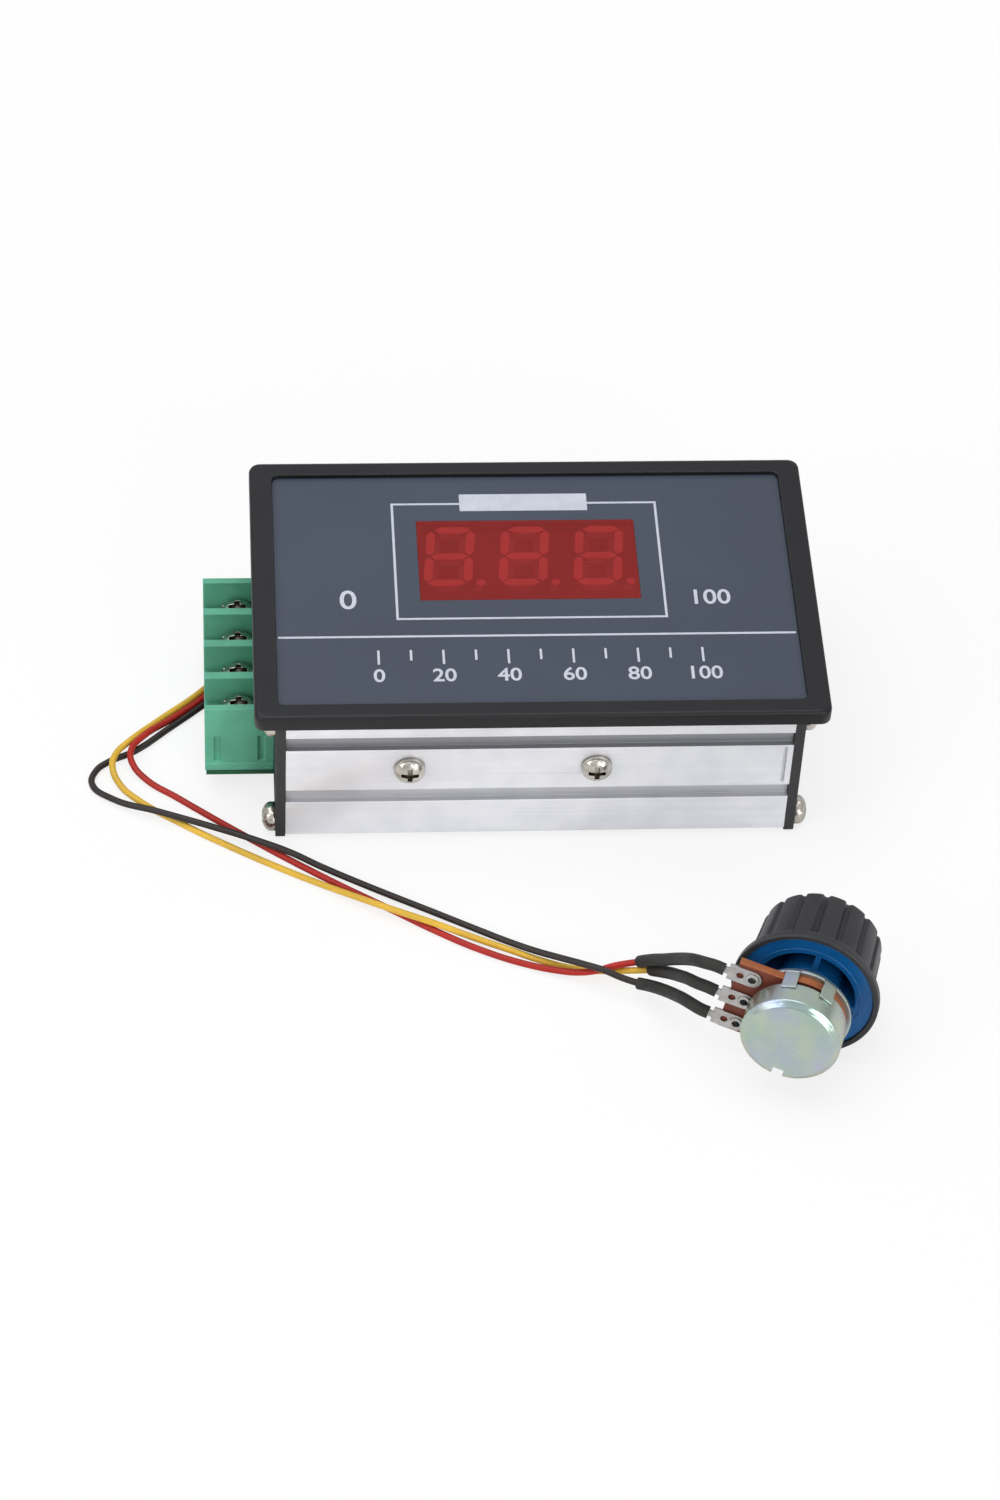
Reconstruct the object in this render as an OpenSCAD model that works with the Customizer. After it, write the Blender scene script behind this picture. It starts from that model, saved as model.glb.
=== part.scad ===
// DC motor speed controller: an open-top aluminium case with a display bezel,
// a screw terminal block, and a speed potentiometer with its knob on three wires.
// Sizes are millimetres and +Z is up. The origin is on the surface that it stands on,
// under the middle of the whole unit, the potentiometer included and the wires left out.

/* [Bezel and label] */
// Length of the bezel, left to right
bezel_l = 96; // [94:0.5:104]
// Depth of the bezel, front to back
bezel_d = 61; // [59:0.5:68]
// Height of the bezel's top above the surface that the case stands on
bezel_top = 33; // [32:0.5:36]
// Thickness of the bezel's flange at its edge
bezel_flange = 3; // [2.8:0.1:4]
// Radius of the bezel's corners
bezel_corner_r = 1.8; // [1:0.1:4]
// Rounding of the bezel's top edge
bezel_edge_r = 0.7; // [0.3:0.1:1.2]
// Length of the front label
label_l = 88.2; // [84:0.2:90]
// Depth of the front label, front to back
label_d = 54.6; // [52:0.2:56]
// Thickness of the front label
label_t = 0.5; // [0.3:0.1:0.6]
// Depth of the label's face below the bezel's top
label_sink = 0.8; // [0.5:0.1:1]
// Radius of the label's corners
label_corner_r = 1.2; // [0.8:0.1:3]
// Wall of the skirt under the bezel
skirt_wall = 1.6; // [1.2:0.1:2]

/* [Display] */
// Length of the display window
window_l = 37.6; // [36:0.1:40]
// Depth of the display window, front to back
window_d = 19.2; // [18.6:0.1:20]
// Place of the window's middle, to the left of the case's middle
window_left = 0.7; // [0:0.1:2]
// Place of the window's middle, to the back of the case's middle
window_back = 6.85; // [5:0.05:7]
// Height of the display module
module_h = 8; // [7:0.1:8.2]
// Height of one digit
digit_h = 14.2; // [12:0.1:14.6]
// Width of one digit
digit_w = 6.4; // [5:0.1:7]
// Step from one digit to the next
digit_step = 12.8; // [11:0.1:12.8]
// Width of one bar of a digit
bar_w = 1.5; // [1:0.1:1.6]
// Slant of the digits, in degrees
digit_slant = 5; // [0:1:6]
// Thickness of the circuit boards
board_t = 1.6; // [1.2:0.1:1.6]

/* [Case] */
// Length of the aluminium channel
case_l = 85.4; // [80:0.2:87]
// Depth of the aluminium channel, front to back
case_d = 55; // [54:0.2:56]
// Thickness of the channel's side walls
case_wall = 2.2; // [2:0.1:2.4]
// Thickness of the channel's floor
case_floor = 1.5; // [1.2:0.1:1.7]
// Height of the channel's underside above the surface that the case stands on
case_lift = 1; // [0.8:0.1:1.2]
// Depth of the grooves along the channel's sides
groove_deep = 1; // [0.6:0.1:1.2]
// Height of one groove
groove_h = 2.95; // [2:0.05:3.2]
// Height of the band between the two grooves
band_h = 9.8; // [8:0.1:10]
// Height of the band's middle
band_mid = 16.9; // [16.5:0.1:17.5]
// Outer radius of the screw channels
channel_r = 2; // [1.9:0.05:2.05]
// Radius of the bore of the screw channels
channel_bore_r = 1.2; // [1:0.05:1.3]
// Thickness of the end plates
plate_t = 1.7; // [1.2:0.1:2]
// Distance from the case's side to the middle of the end plate screws
plate_screw_in = 2.7; // [2.5:0.1:2.9]
// Height of the lower end plate screws
plate_screw_low = 2.7; // [2.6:0.1:2.8]
// Height of the upper end plate screws
plate_screw_high = 26.2; // [25.8:0.1:26.4]
// Diameter of the end plate screws' heads
plate_head_d = 5; // [4.6:0.1:5.2]
// Height of the end plate screws' heads
plate_head_h = 2.3; // [1.6:0.1:2.4]

/* [Power parts on the front wall] */
// Place of the left clamp screw, to the left of the case's middle
clamp_left = 21.9; // [16:0.1:24]
// Place of the right clamp screw, to the right of the case's middle
clamp_right = 9.6; // [6:0.1:14]
// Height of the clamp screws
clamp_z = 17.3; // [17.2:0.1:17.6]
// Diameter of the clamp screws' heads
clamp_head_d = 5.2; // [4.8:0.1:5.6]
// Height of the clamp screws' heads
clamp_head_h = 2.1; // [1.6:0.1:2.4]
// Radius of the clamp screws' shanks
clamp_shank_r = 1.45; // [1.2:0.05:1.5]

/* [Terminal block] */
// Step from one terminal to the next
pole_step = 7.62; // [7:0.02:7.7]
// Thickness of the walls between the terminals
pole_wall = 1.6; // [1.2:0.1:2]
// Depth of the block, from its open side to the end plate
block_l = 11.8; // [11:0.1:13]
// Height of the block
block_h = 14.8; // [14:0.1:16]
// Height of the floor under the terminals, above the block's underside
block_floor = 8.6; // [8:0.1:9]
// Diameter of the terminal screws' heads
terminal_head_d = 5.4; // [4.6:0.1:5.6]
// Height of the terminal screws' heads
terminal_head_h = 2.2; // [1.6:0.1:2.6]
// Radius of the terminal screws' shanks
terminal_shank_r = 1.5; // [1.2:0.05:1.5]
// Thickness of the clamp washers
washer_t = 0.9; // [0.6:0.1:1]

/* [Potentiometer] */
// Radius of the can
can_r = 8.25; // [8:0.05:8.6]
// Length of the can
can_l = 6; // [5.8:0.1:7]
// Wall of the can
can_wall = 0.5; // [0.4:0.05:0.6]
// Thickness of the wafer that carries the track
wafer_t = 1.6; // [1.2:0.1:1.8]
// Thickness of the front plate
front_t = 0.8; // [0.6:0.1:1]
// Radius of the threaded bushing
bushing_r = 3.5; // [3.4:0.05:3.6]
// Length of the threaded bushing
bushing_l = 6.5; // [6:0.1:7]
// Radius of the shaft
shaft_r = 3; // [2.9:0.05:3]
// Distance between the lugs
lug_step = 5; // [4.6:0.1:5]
// Width of one lug
lug_w = 3.1; // [2.4:0.1:3.2]
// Thickness of the lugs
lug_t = 0.5; // [0.3:0.1:0.6]

/* [Knob] */
// Radius of the knob's flange
knob_flange_r = 12.25; // [12:0.05:12.3]
// Radius of the knob's body next to the flange
knob_body_r = 10.75; // [10.5:0.05:10.8]
// Radius of the knob's crown
knob_crown_r = 10.1; // [9.6:0.05:10.15]
// Length of the knob
knob_l = 14.5; // [14:0.1:15]
// Thickness of the knob's flange
knob_flange_t = 1.3; // [1.2:0.1:1.6]
// Number of grip lobes round the knob
knob_lobes = 16; // [12:1:20]
// Depth of the grooves between the lobes
knob_groove_deep = 0.5; // [0.3:0.05:0.6]
// Width of the grooves between the lobes
knob_groove_w = 0.8; // [0.6:0.1:1.2]

/* [Hidden] */

// Shared values
eps = 0.05;
fit = 0.05;
board_gap = 0.1;
smooth = 64;
fine = 32;

// Where the case's middle lies in the frame
case_x = 0.82;
case_y = 28.8;

// Heights of the case
seat_z = bezel_top - bezel_flange;
label_z = bezel_top - label_sink;
label_base_z = label_z - label_t;
floor_z = case_lift + case_floor;
wall_in = case_d / 2 - case_wall;
plate_screw_y = case_d / 2 - plate_screw_in;
plate_out = case_l / 2 + plate_t;

// Skirt of the bezel and its hooks under the upper screw channels
skirt_gap = 0.3;
skirt_d = 2 * (plate_screw_y - channel_r - skirt_gap);
skirt_l = case_l - 2 * skirt_gap;
skirt_h = 3.5;
hook_x = 31;
hook_w = 6;
hook_bite = 0.7;
hook_h = 1.2;
hook_top = plate_screw_high - channel_r - fit;

// Display module and its board
module_gap = 0.15;
module_l = window_l - 2 * module_gap;
module_d = window_d - 2 * module_gap;
module_z = label_base_z - module_h;
dboard_top = module_z;
dboard_z = dboard_top - board_t;
dboard_l = 50;
dboard_d = 28;
post_x = 22;
post_y = 11.4;
post_r = 2.2;
post_bore_r = 1.05;
board_screw_r = 1;
board_screw_head_r = 1.9;
board_screw_head_h = 1.3;
board_screw_l = 6;
pocket_deep = 0.4;
pin_r = 0.25;
pin_hole_r = 0.4;
pin_step = 2.54;
pin_row = 7.62;
pin_proud = 1.2;
display_pins_a_row = 6;
point_r = 0.75;
bar_gap = 0.25;

// Main board
rib_h = 0.7;
rib_w = 1.5;
rib_in = 3.4;
board_side_gap = 0.4;
board_left_gap = 1;
board_right_gap = 0.8;
board_z = floor_z + rib_h;
board_top = board_z + board_t;
board_half_d = plate_screw_y - channel_r - board_side_gap;
board_left = case_l / 2 - board_left_gap;
board_right = case_l / 2 - board_right_gap;
rib_y = board_half_d - rib_in;
tongue_half = 15.5;
tab_half = 8;
tab_l = 2.1;
block_x = -(plate_out + block_l);
tongue_in = 0.2;
tongue_end = plate_out + block_l - tongue_in;
lead_proud = 0.3;

// Power parts
tab_t = 1.3;
tab_w = 10.2;
tab_above = 2.8;
tab_below = 12.3;
tab_hole_r = 1.9;
power_body_h = 9.2;
power_body_t = 4.5;
pad_t = 0.3;
pad_over = 0.9;
power_lead_w = 0.8;
power_lead_t = 0.5;
power_lead_step = 2.54;
power_lead_in = 3.6;
bush_flange_r = 2.8;
bush_flange_t = 0.8;
nut_flats = 5.5;
nut_t = 2.4;
clamp_tip = 0.7;
pad_y = -wall_in;
tab_y = pad_y + pad_t;
tab_front = tab_y + tab_t;
nut_y = tab_front + bush_flange_t;

// Terminal block
poles = 4;
block_half = poles * pole_step / 2 + pole_wall / 2;
block_z = board_top;
pocket_z = block_z + block_floor;
back_wall = 1.1;
foot_h = 1.6;
foot_in = 0.3;
slot_w = 1.1;
slot_deep = 0.8;
slot_in = 1.6;
slot_low = 0.5;
screw_in = 5.9;
screw_x = block_x + screw_in;
contact_t = 0.5;
contact_l = 9.2;
contact_w = 5;
contact_bore_r = terminal_shank_r + fit;
contact_pin = 1;
shank_well_r = 1.8;
shank_well_deep = 5;
terminal_shank_l = 4.6;
washer_l = 6;
washer_w = 5.4;
washer_z = pocket_z + contact_t;
pole_y = [for (i = [0:poles - 1]) (i - (poles - 1) / 2) * pole_step];

// Small parts inside
cap_r = 5;
cap_h = 15.5;
cap_x = [26, 14];
cap_y = 12;
chip_l = 19.6;
chip_w = 6.4;
chip_h = 3.4;
chip_pins_a_side = 7;
chip_x = -4;
chip_y = -8;
header_x = -6;
header_in = 4.125;
header_y = (board_half_d + window_back + dboard_d / 2) / 2 - header_in;
header_pins = 6;
header_w = 2.5;
header_h = 2.5;
socket_x = -36.5;
socket_in = 4.6;
socket_y = board_half_d - socket_in;
socket_l = 7.4;
socket_w = 9.9;
socket_h = 6;
plug_l = 5;
plug_out = 1.6;
grommet_z = 7;
grommet_r = 2.2;
grommet_flange_r = 3;
grommet_gap = 0.26;
grommet_y = block_half + grommet_gap + grommet_flange_r;
grommet_bore_r = 1.75;
grommet_flange_t = 0.7;

// Potentiometer
pot_x = 36.8;
pot_y = -85.6;
pot_turn = 18.5;
pot_tilt = 8.7;
pot_roll = 9;
pot_clear = 0.15;
disc_r = 7.8;
rim_r = 0.6;
knob_z = 12.25;
knob_end = knob_z + knob_l;
pot_z = pot_clear + knob_flange_r * cos(pot_tilt) + (knob_z + knob_flange_t) * sin(pot_tilt);
wafer_in = 0.35;
wafer_r = can_r - wafer_in;
wafer_reach = 11.7;
wafer_half = 7.1;
lug_z = can_l - lug_t;
lug_reach = 13;
rivet_x = 8.9;
rivet_bore_r = 0.7;
rivet_r = 1.15;
rivet_rim = 0.25;
wire_hole_x = 11;
wire_hole_r = 0.6;
front_z = can_l + wafer_t;
front_over = 0.35;
front_r = can_r + front_over;
bushing_z = front_z + front_t;
thread_deep = 0.35;
thread_r = bushing_r - thread_deep;
thread_pitch = 0.75;
collar_l = 1.2;
shaft_end = 23.4;
shaft_bore_r = shaft_r + fit;
shaft_slot_w = 1;
shaft_slot_deep = 3;
rotor_r = 6.8;
rotor_low = 1.6;
rotor_high = 4.3;
track_r = 6.2;
track_w = 1.8;
track_t = 0.1;
wiper_t = 0.3;

// Knob
crown_r = 0.7;
recess_r = 11.3;
recess_deep = 0.9;
cavity_r = 9.2;
roof_t = 1.5;
insert_flange_t = 0.5;
insert_gap = 0.05;
insert_wall = 0.9;
hub_r = 5.2;
grip_gap = 0.02;
grip_r = shaft_r + grip_gap;
hub_gap = 0.4;
hub_bore_r = bushing_r + hub_gap;

// Wires and sleeves. Each list is the wire's centre line, chosen by hand.
wire_d = 1.15;
sleeve_d = 1.8;
wire_sides = 8;
red_points = [
    [-41.85, 19.3, 7.9], [-44.6, 19.3, 7.9], [-46.6, 19.2, 6.9], [-48, 18.6, 4.8], [-48.8, 17.3, 2.4],
    [-49.8, 15, 0.9], [-51.6, 11.4, 0.6], [-53.9, 7.9, 0.6], [-56.7, 4.7, 0.6], [-62.3, -0.5, 0.9],
    [-66.7, -4.8, 1.7], [-68.9, -8.4, 1.9], [-68.6, -11.5, 1.7], [-66.2, -14.5, 0.9], [-61.3, -18.2, 0.6],
    [-50.5, -26.7, 0.6], [-37, -36.6, 0.6], [-24.7, -44.8, 0.6], [-17.8, -49.4, 0.6], [-10.8, -53.5, 0.6],
    [-3.3, -56.9, 0.7], [2.3, -58.9, 1.2], [5.1, -59.7, 1.7], [8, -60.1, 2.5], [11.2, -59.8, 3.4],
    [15.3, -60, 4.6], [16.9, -61.9, 7.2], [18.5, -64.2, 10], [20.3, -67.1, 13.6], [21.6, -70.2, 17.2],
    [22.6, -72.5, 19.6], [23.9, -74, 20.7], [25.4, -74.6, 20.7], [26.9, -75.2, 20.4]
];
red_sleeve_from = 25;
yellow_points = [
    [-41.85, 20.1, 6.8], [-44.6, 20.1, 6.8], [-46.9, 20.3, 6], [-48.9, 19.7, 4], [-50, 18.2, 1.8],
    [-51.1, 16, 0.7], [-52.8, 12.4, 0.6], [-54.6, 9.2, 0.6], [-57, 6.3, 0.6], [-64, -0.2, 0.7],
    [-69.5, -6.3, 1.6], [-71.6, -9.4, 1.9], [-72.1, -12.1, 1.7], [-70.8, -15.4, 0.8], [-68.1, -18.5, 0.6],
    [-60.2, -24.5, 0.6], [-53.2, -29.1, 0.6], [-43.9, -34.7, 0.6], [-37.1, -38.6, 0.8], [-29.5, -43.2, 1.7],
    [-24.2, -45.9, 1.9], [-18.2, -48.6, 1.8], [-11.5, -51.3, 1], [-5.3, -53.9, 0.6], [-0.4, -56.2, 0.6],
    [4.2, -57.9, 0.7], [8, -58.9, 1.1], [11.9, -59.9, 2.2], [17.2, -61.5, 4.2], [18.4, -63.5, 6.2],
    [19.7, -66.3, 9], [20.8, -69.6, 12.2], [21.7, -72.4, 14.8], [22.9, -74.3, 16], [24.4, -75, 15.9],
    [25.9, -75.6, 15.5]
];
yellow_sleeve_from = 28;
black_points = [
    [-41.85, 18.5, 6.8], [-44.8, 18.5, 6.8], [-46.4, 18.2, 5.9], [-47.2, 17.5, 3.9], [-47.6, 16.5, 2],
    [-48.4, 14, 0.8], [-50.4, 10.2, 0.6], [-53.4, 6.2, 0.6], [-56.7, 3, 0.6], [-62.3, -2.1, 0.6],
    [-68.4, -7.5, 0.6], [-72.8, -9.9, 0.6], [-74.9, -11.9, 0.6], [-75.6, -15, 0.6], [-72.2, -18.7, 0.9],
    [-64, -22.8, 1.9], [-54, -26.8, 1.9], [-47.8, -29.5, 1.9], [-42, -32.3, 1.8], [-37, -34.9, 1.1],
    [-30.3, -38.6, 0.8], [-17.1, -45.9, 0.8], [-10.6, -49.6, 0.9], [-5.7, -52.6, 1.3], [-1.3, -55.3, 2],
    [2.3, -57.4, 2.8], [6, -59.6, 3.7], [9.2, -61.3, 4.1], [12.2, -62.6, 3.6], [14.9, -63.6, 3.3],
    [16.2, -64.5, 3.9], [17.4, -65.9, 5], [19, -68.2, 6.7], [20.3, -70.9, 8.8], [21.2, -73.2, 10.6],
    [22.3, -74.8, 11.3], [23.6, -75.6, 11], [24.9, -76.1, 10.7]
];
black_sleeve_from = 29;

// Places and turns

module at_case() {
    translate([case_x, case_y, 0]) children();
}

module at_display() {
    at_case() translate([-window_left, window_back, 0]) children();
}

module at_pot() {
    at_case() translate([pot_x, pot_y, pot_z]) rotate([0, 0, -pot_turn]) rotate([-90 - pot_tilt, 0, 0])
        rotate([0, 0, pot_roll]) children();
}

module at_pole(i) {
    at_case() translate([screw_x, pole_y[i], 0]) children();
}

module mirrored(v) {
    children();
    mirror(v) children();
}

module four_ways(x, y) {
    for (sx = [-x, x]) for (sy = [-y, y]) translate([sx, sy, 0]) children();
}

// A flat plate with its middle on the axis and round corners
module round_plate(l, d, h, r) {
    linear_extrude(height = h) round_outline(l, d, r);
}

module round_outline(l, d, r) {
    square([l - 2 * r, d], center = true);
    square([l, d - 2 * r], center = true);
    four_ways(l / 2 - r, d / 2 - r) circle(r = r, $fn = fine);
}

module block(l, d, h) {
    translate([-l / 2, -d / 2, 0]) cube([l, d, h]);
}

// A cross recess cut down from z = 0, for a screw head
module cross_recess(l, w, deep) {
    for (a = [0, 90]) rotate([0, 0, a]) translate([0, 0, -deep]) block(l, w, deep + eps);
}

// A pan head that stands on z = 0, with its cross recess
module pan_head(d, h) {
    difference() {
        rotate_extrude($fn = smooth) polygon(pan_outline(d / 2, h));
        translate([0, 0, h]) cross_recess(d * recess_l_share, d * recess_w_share, h * recess_deep_share);
    }
}

recess_l_share = 0.56;
recess_w_share = 0.16;
recess_deep_share = 0.5;
pan_rim_share = 0.35;
pan_steps = 6;

function pan_outline(r, h) = concat(
    [[0, 0], [r, 0], [r, h * pan_rim_share]],
    [for (i = [1:pan_steps]) let (a = 90 * i / pan_steps)
        [r * cos(a), h * (pan_rim_share + (1 - pan_rim_share) * sin(a))]]
);

// Outline of one bar of a digit, lying along x, pointed at both ends
function bar_outline(l, w) = [
    [0, 0], [w / 2, w / 2], [l - w / 2, w / 2], [l, 0], [l - w / 2, -w / 2], [w / 2, -w / 2]
];

function slanted(p) = [p[0] + p[1] * tan(digit_slant), p[1]];

function turned(p) = [-p[1], p[0]];

// The seven bars as [start, upright or not] places on the digit's grid
half_h = (digit_h - bar_w) / 2;
span_w = digit_w - bar_w;
bar_places = [
    [[0, -half_h], false], [[0, 0], false], [[0, half_h], false],
    [[0, -half_h], true], [[0, 0], true], [[span_w, -half_h], true], [[span_w, 0], true]
];

module bars(grow) {
    for (b = bar_places) {
        reach = (b[1] ? half_h : span_w) - 2 * bar_gap;
        line = bar_outline(reach + 2 * grow, bar_w + 2 * grow);
        shifted = [for (p = line) [p[0] + bar_gap - grow, p[1]]];
        polygon([for (p = shifted) slanted(b[0] + (b[1] ? turned(p) : p))]);
    }
    translate([span_w + point_r + bar_w, -half_h - bar_w / 2 + point_r])
        circle(r = point_r + grow, $fn = fine);
}

module digits(grow) {
    for (i = [-1:1]) translate([i * digit_step - span_w / 2 - point_r, 0]) bars(grow);
}

// Bezel and display

module bezel() {
    color([0.2, 0.2, 0.21]) at_case() difference() {
        union() {
            bezel_flange_solid();
            translate([0, 0, seat_z - skirt_h]) skirt();
            translate([-window_left, window_back, 0]) four_ways(post_x, post_y) post();
            mirrored([0, 1, 0]) for (x = [-hook_x, hook_x]) translate([x, 0, 0]) hook();
        }
        translate([0, 0, label_base_z]) round_plate(label_l, label_d, bezel_flange, label_corner_r);
        translate([-window_left, window_back, seat_z - eps]) block(window_l, window_d, bezel_flange);
        translate([-window_left, window_back, dboard_top]) four_ways(post_x, post_y)
            translate([0, 0, -eps]) cylinder(r = post_bore_r, h = board_screw_l, $fn = fine);
    }
}

module bezel_flange_solid() {
    translate([0, 0, seat_z]) round_plate(bezel_l, bezel_d, bezel_flange - bezel_edge_r, bezel_corner_r);
    hull() {
        translate([0, 0, bezel_top - bezel_edge_r - eps])
            round_plate(bezel_l, bezel_d, eps, bezel_corner_r);
        translate([0, 0, bezel_top - bezel_edge_r * edge_mid_share])
            round_plate(bezel_l - bezel_edge_r * edge_in_share, bezel_d - bezel_edge_r * edge_in_share,
                eps, bezel_corner_r);
        translate([0, 0, bezel_top - eps])
            round_plate(bezel_l - 2 * bezel_edge_r, bezel_d - 2 * bezel_edge_r, eps, bezel_corner_r);
    }
}

edge_mid_share = 0.35;
edge_in_share = 0.5;

module skirt() {
    difference() {
        round_plate(skirt_l, skirt_d, skirt_h + eps, bezel_corner_r);
        translate([0, 0, -eps])
            round_plate(skirt_l - 2 * skirt_wall, skirt_d - 2 * skirt_wall, skirt_h + eps,
                bezel_corner_r / 2);
    }
}

module post() {
    translate([0, 0, dboard_top]) cylinder(r = post_r, h = seat_z + eps - dboard_top, $fn = fine);
}

module hook() {
    low = hook_top - hook_h;
    out = skirt_d / 2;
    rotate([90, 0, 90]) translate([0, 0, -hook_w / 2]) linear_extrude(height = hook_w) polygon([
        [out - skirt_wall, seat_z], [out, seat_z], [out, hook_top], [out + hook_bite, hook_top],
        [out, low - hook_bite], [out - skirt_wall, low - hook_bite]
    ]);
}

module front_label() {
    color([0.31, 0.34, 0.39]) at_case() difference() {
        translate([0, 0, label_base_z])
            round_plate(label_l - 2 * fit, label_d - 2 * fit, label_t, label_corner_r - fit);
        translate([-window_left, window_back, label_base_z - eps])
            block(window_l, window_d, label_t + 2 * eps);
    }
}

module display_window() {
    color([0.55, 0.12, 0.12]) at_display() translate([0, 0, label_base_z])
        block(window_l - 2 * fit, window_d - 2 * fit, label_t);
}

module led_display() {
    color([0.3, 0.06, 0.07]) at_display() {
        difference() {
            translate([0, 0, module_z]) block(module_l, module_d, module_h);
            translate([0, 0, label_base_z - pocket_deep]) linear_extrude(height = module_h) digits(fit);
        }
        display_pins() translate([0, 0, dboard_z - pin_proud])
            cylinder(r = pin_r, h = board_t + pin_proud + module_h / 2, $fn = fine);
    }
}

module display_pins() {
    for (i = [0:display_pins_a_row - 1]) for (y = [-pin_row, pin_row])
        translate([(i - (display_pins_a_row - 1) / 2) * pin_step, y, 0]) children();
}

module display_segments() {
    color([0.68, 0.15, 0.18]) at_display() translate([0, 0, label_base_z - pocket_deep])
        linear_extrude(height = pocket_deep) digits(0);
}

module display_board() {
    color([0.1, 0.35, 0.2]) at_display() difference() {
        translate([0, 0, dboard_z]) block(dboard_l, dboard_d, board_t);
        translate([0, 0, dboard_z - eps]) {
            four_ways(post_x, post_y) cylinder(r = post_bore_r, h = board_t + 2 * eps, $fn = fine);
            display_pins() cylinder(r = pin_hole_r, h = board_t + 2 * eps, $fn = fine);
            translate([window_left, -window_back, 0]) header_pins_at()
                cylinder(r = pin_hole_r, h = board_t + 2 * eps, $fn = fine);
        }
    }
}

module display_board_screws() {
    color([0.75, 0.75, 0.76]) at_display() four_ways(post_x, post_y) translate([0, 0, dboard_z])
        mirror([0, 0, 1]) {
            pan_head(2 * board_screw_head_r, board_screw_head_h);
            translate([0, 0, -board_screw_l])
                cylinder(r = board_screw_r, h = board_screw_l + eps, $fn = fine);
        }
}

// Case

module case_extrusion() {
    color([0.78, 0.79, 0.8]) at_case() difference() {
        translate([-case_l / 2, 0, 0]) rotate([90, 0, 90]) linear_extrude(height = case_l) case_profile();
        for (x = [-clamp_left, clamp_right]) translate([x, -case_d / 2 - eps, clamp_z]) rotate([-90, 0, 0])
            cylinder(r = clamp_shank_r + board_gap, h = case_wall + 2 * eps, $fn = smooth);
        mirrored([0, 1, 0]) translate([case_l / 2 - end_slot_in, -case_d / 2, band_mid])
            cube([end_slot_w, 2 * groove_deep, band_h - 2 * end_slot_w], center = true);
    }
}

end_slot_in = 1.3;
end_slot_w = 0.6;

module case_profile() {
    low_groove = band_mid - band_h / 2 - groove_h;
    high_groove = band_mid + band_h / 2;
    difference() {
        translate([-case_d / 2, case_lift]) square([case_d, seat_z - case_lift]);
        translate([-wall_in, floor_z]) square([2 * wall_in, seat_z]);
        for (z = [low_groove, high_groove]) mirrored([1, 0]) translate([case_d / 2 - groove_deep, z])
            square([groove_deep + eps, groove_h]);
        mirrored([1, 0]) channel_cuts();
    }
    mirrored([1, 0]) {
        difference() {
            intersection() {
                for (z = [plate_screw_low, plate_screw_high]) translate([plate_screw_y, z])
                    circle(r = channel_r, $fn = smooth);
                translate([0, case_lift]) square([case_d / 2, seat_z - case_lift]);
            }
            channel_cuts();
        }
        translate([rib_y - rib_w, case_lift + eps]) square([rib_w, board_z - case_lift - eps]);
    }
}

// Bores of the two screw channels of one side, with their slots towards the middle
module channel_cuts() {
    slot = channel_bore_r;
    for (z = [plate_screw_low, plate_screw_high]) translate([plate_screw_y, z]) {
        circle(r = channel_bore_r, $fn = smooth);
        translate([-channel_r - eps, -slot / 2]) square([channel_r + eps, slot]);
    }
}

module plate_blank(x) {
    translate([x, 0, seat_z / 2]) rotate([90, 0, 90]) round_plate(case_d, seat_z, plate_t, plate_corner_r);
}

plate_corner_r = 0.8;

module plate_screw_places() {
    for (z = [plate_screw_low, plate_screw_high]) for (y = [-plate_screw_y, plate_screw_y])
        translate([0, y, z]) rotate([0, 90, 0]) children();
}

module left_end_plate() {
    color([0.24, 0.25, 0.26]) at_case() difference() {
        plate_blank(-plate_out);
        translate([-plate_out - eps, 0, 0]) plate_screw_places()
            cylinder(r = channel_bore_r + board_gap, h = plate_t + 2 * eps, $fn = smooth);
        translate([-plate_out - eps, -tongue_half - board_gap, board_z - board_gap])
            cube([plate_t + 2 * eps, 2 * (tongue_half + board_gap), board_t + 2 * board_gap]);
        translate([-plate_out - eps, grommet_y, grommet_z]) rotate([0, 90, 0])
            cylinder(r = grommet_r, h = plate_t + 2 * eps, $fn = smooth);
    }
}

module right_end_plate() {
    color([0.24, 0.25, 0.26]) at_case() difference() {
        plate_blank(case_l / 2);
        translate([case_l / 2 - eps, 0, 0]) plate_screw_places()
            cylinder(r = channel_bore_r + board_gap, h = plate_t + 2 * eps, $fn = smooth);
        translate([case_l / 2 - eps, -tab_half - board_gap, board_z - board_gap])
            cube([plate_t + 2 * eps, 2 * (tab_half + board_gap), board_t + 2 * board_gap]);
    }
}

module end_plate_screws() {
    color([0.82, 0.82, 0.83]) at_case() mirrored([1, 0, 0]) translate([plate_out, 0, 0])
        plate_screw_places() {
            pan_head(plate_head_d, plate_head_h);
            translate([0, 0, -plate_screw_l])
                cylinder(r = channel_bore_r - fit, h = plate_screw_l + eps, $fn = smooth);
        }
}

plate_screw_l = 8;

// Power parts clamped to the front wall

module at_clamp() {
    for (x = [-clamp_left, clamp_right]) at_one_clamp(x) children();
}

module at_one_clamp(x) {
    at_case() translate([x, 0, clamp_z]) rotate([-90, 0, 0]) children();
}

module clamp_screws() {
    tip = nut_y + nut_t + clamp_tip;
    color([0.82, 0.82, 0.83]) at_clamp() {
        translate([0, 0, -case_d / 2]) mirror([0, 0, 1]) pan_head(clamp_head_d, clamp_head_h);
        translate([0, 0, -case_d / 2 - eps])
            cylinder(r = clamp_shank_r, h = tip + case_d / 2 + eps, $fn = smooth);
    }
}

module clamp_nuts() {
    color([0.8, 0.8, 0.8]) at_clamp() translate([0, 0, nut_y]) difference() {
        cylinder(r = nut_flats / 2 / cos(30), h = nut_t, $fn = 6);
        translate([0, 0, -eps]) cylinder(r = clamp_shank_r + fit, h = nut_t + 2 * eps, $fn = smooth);
    }
}

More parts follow.
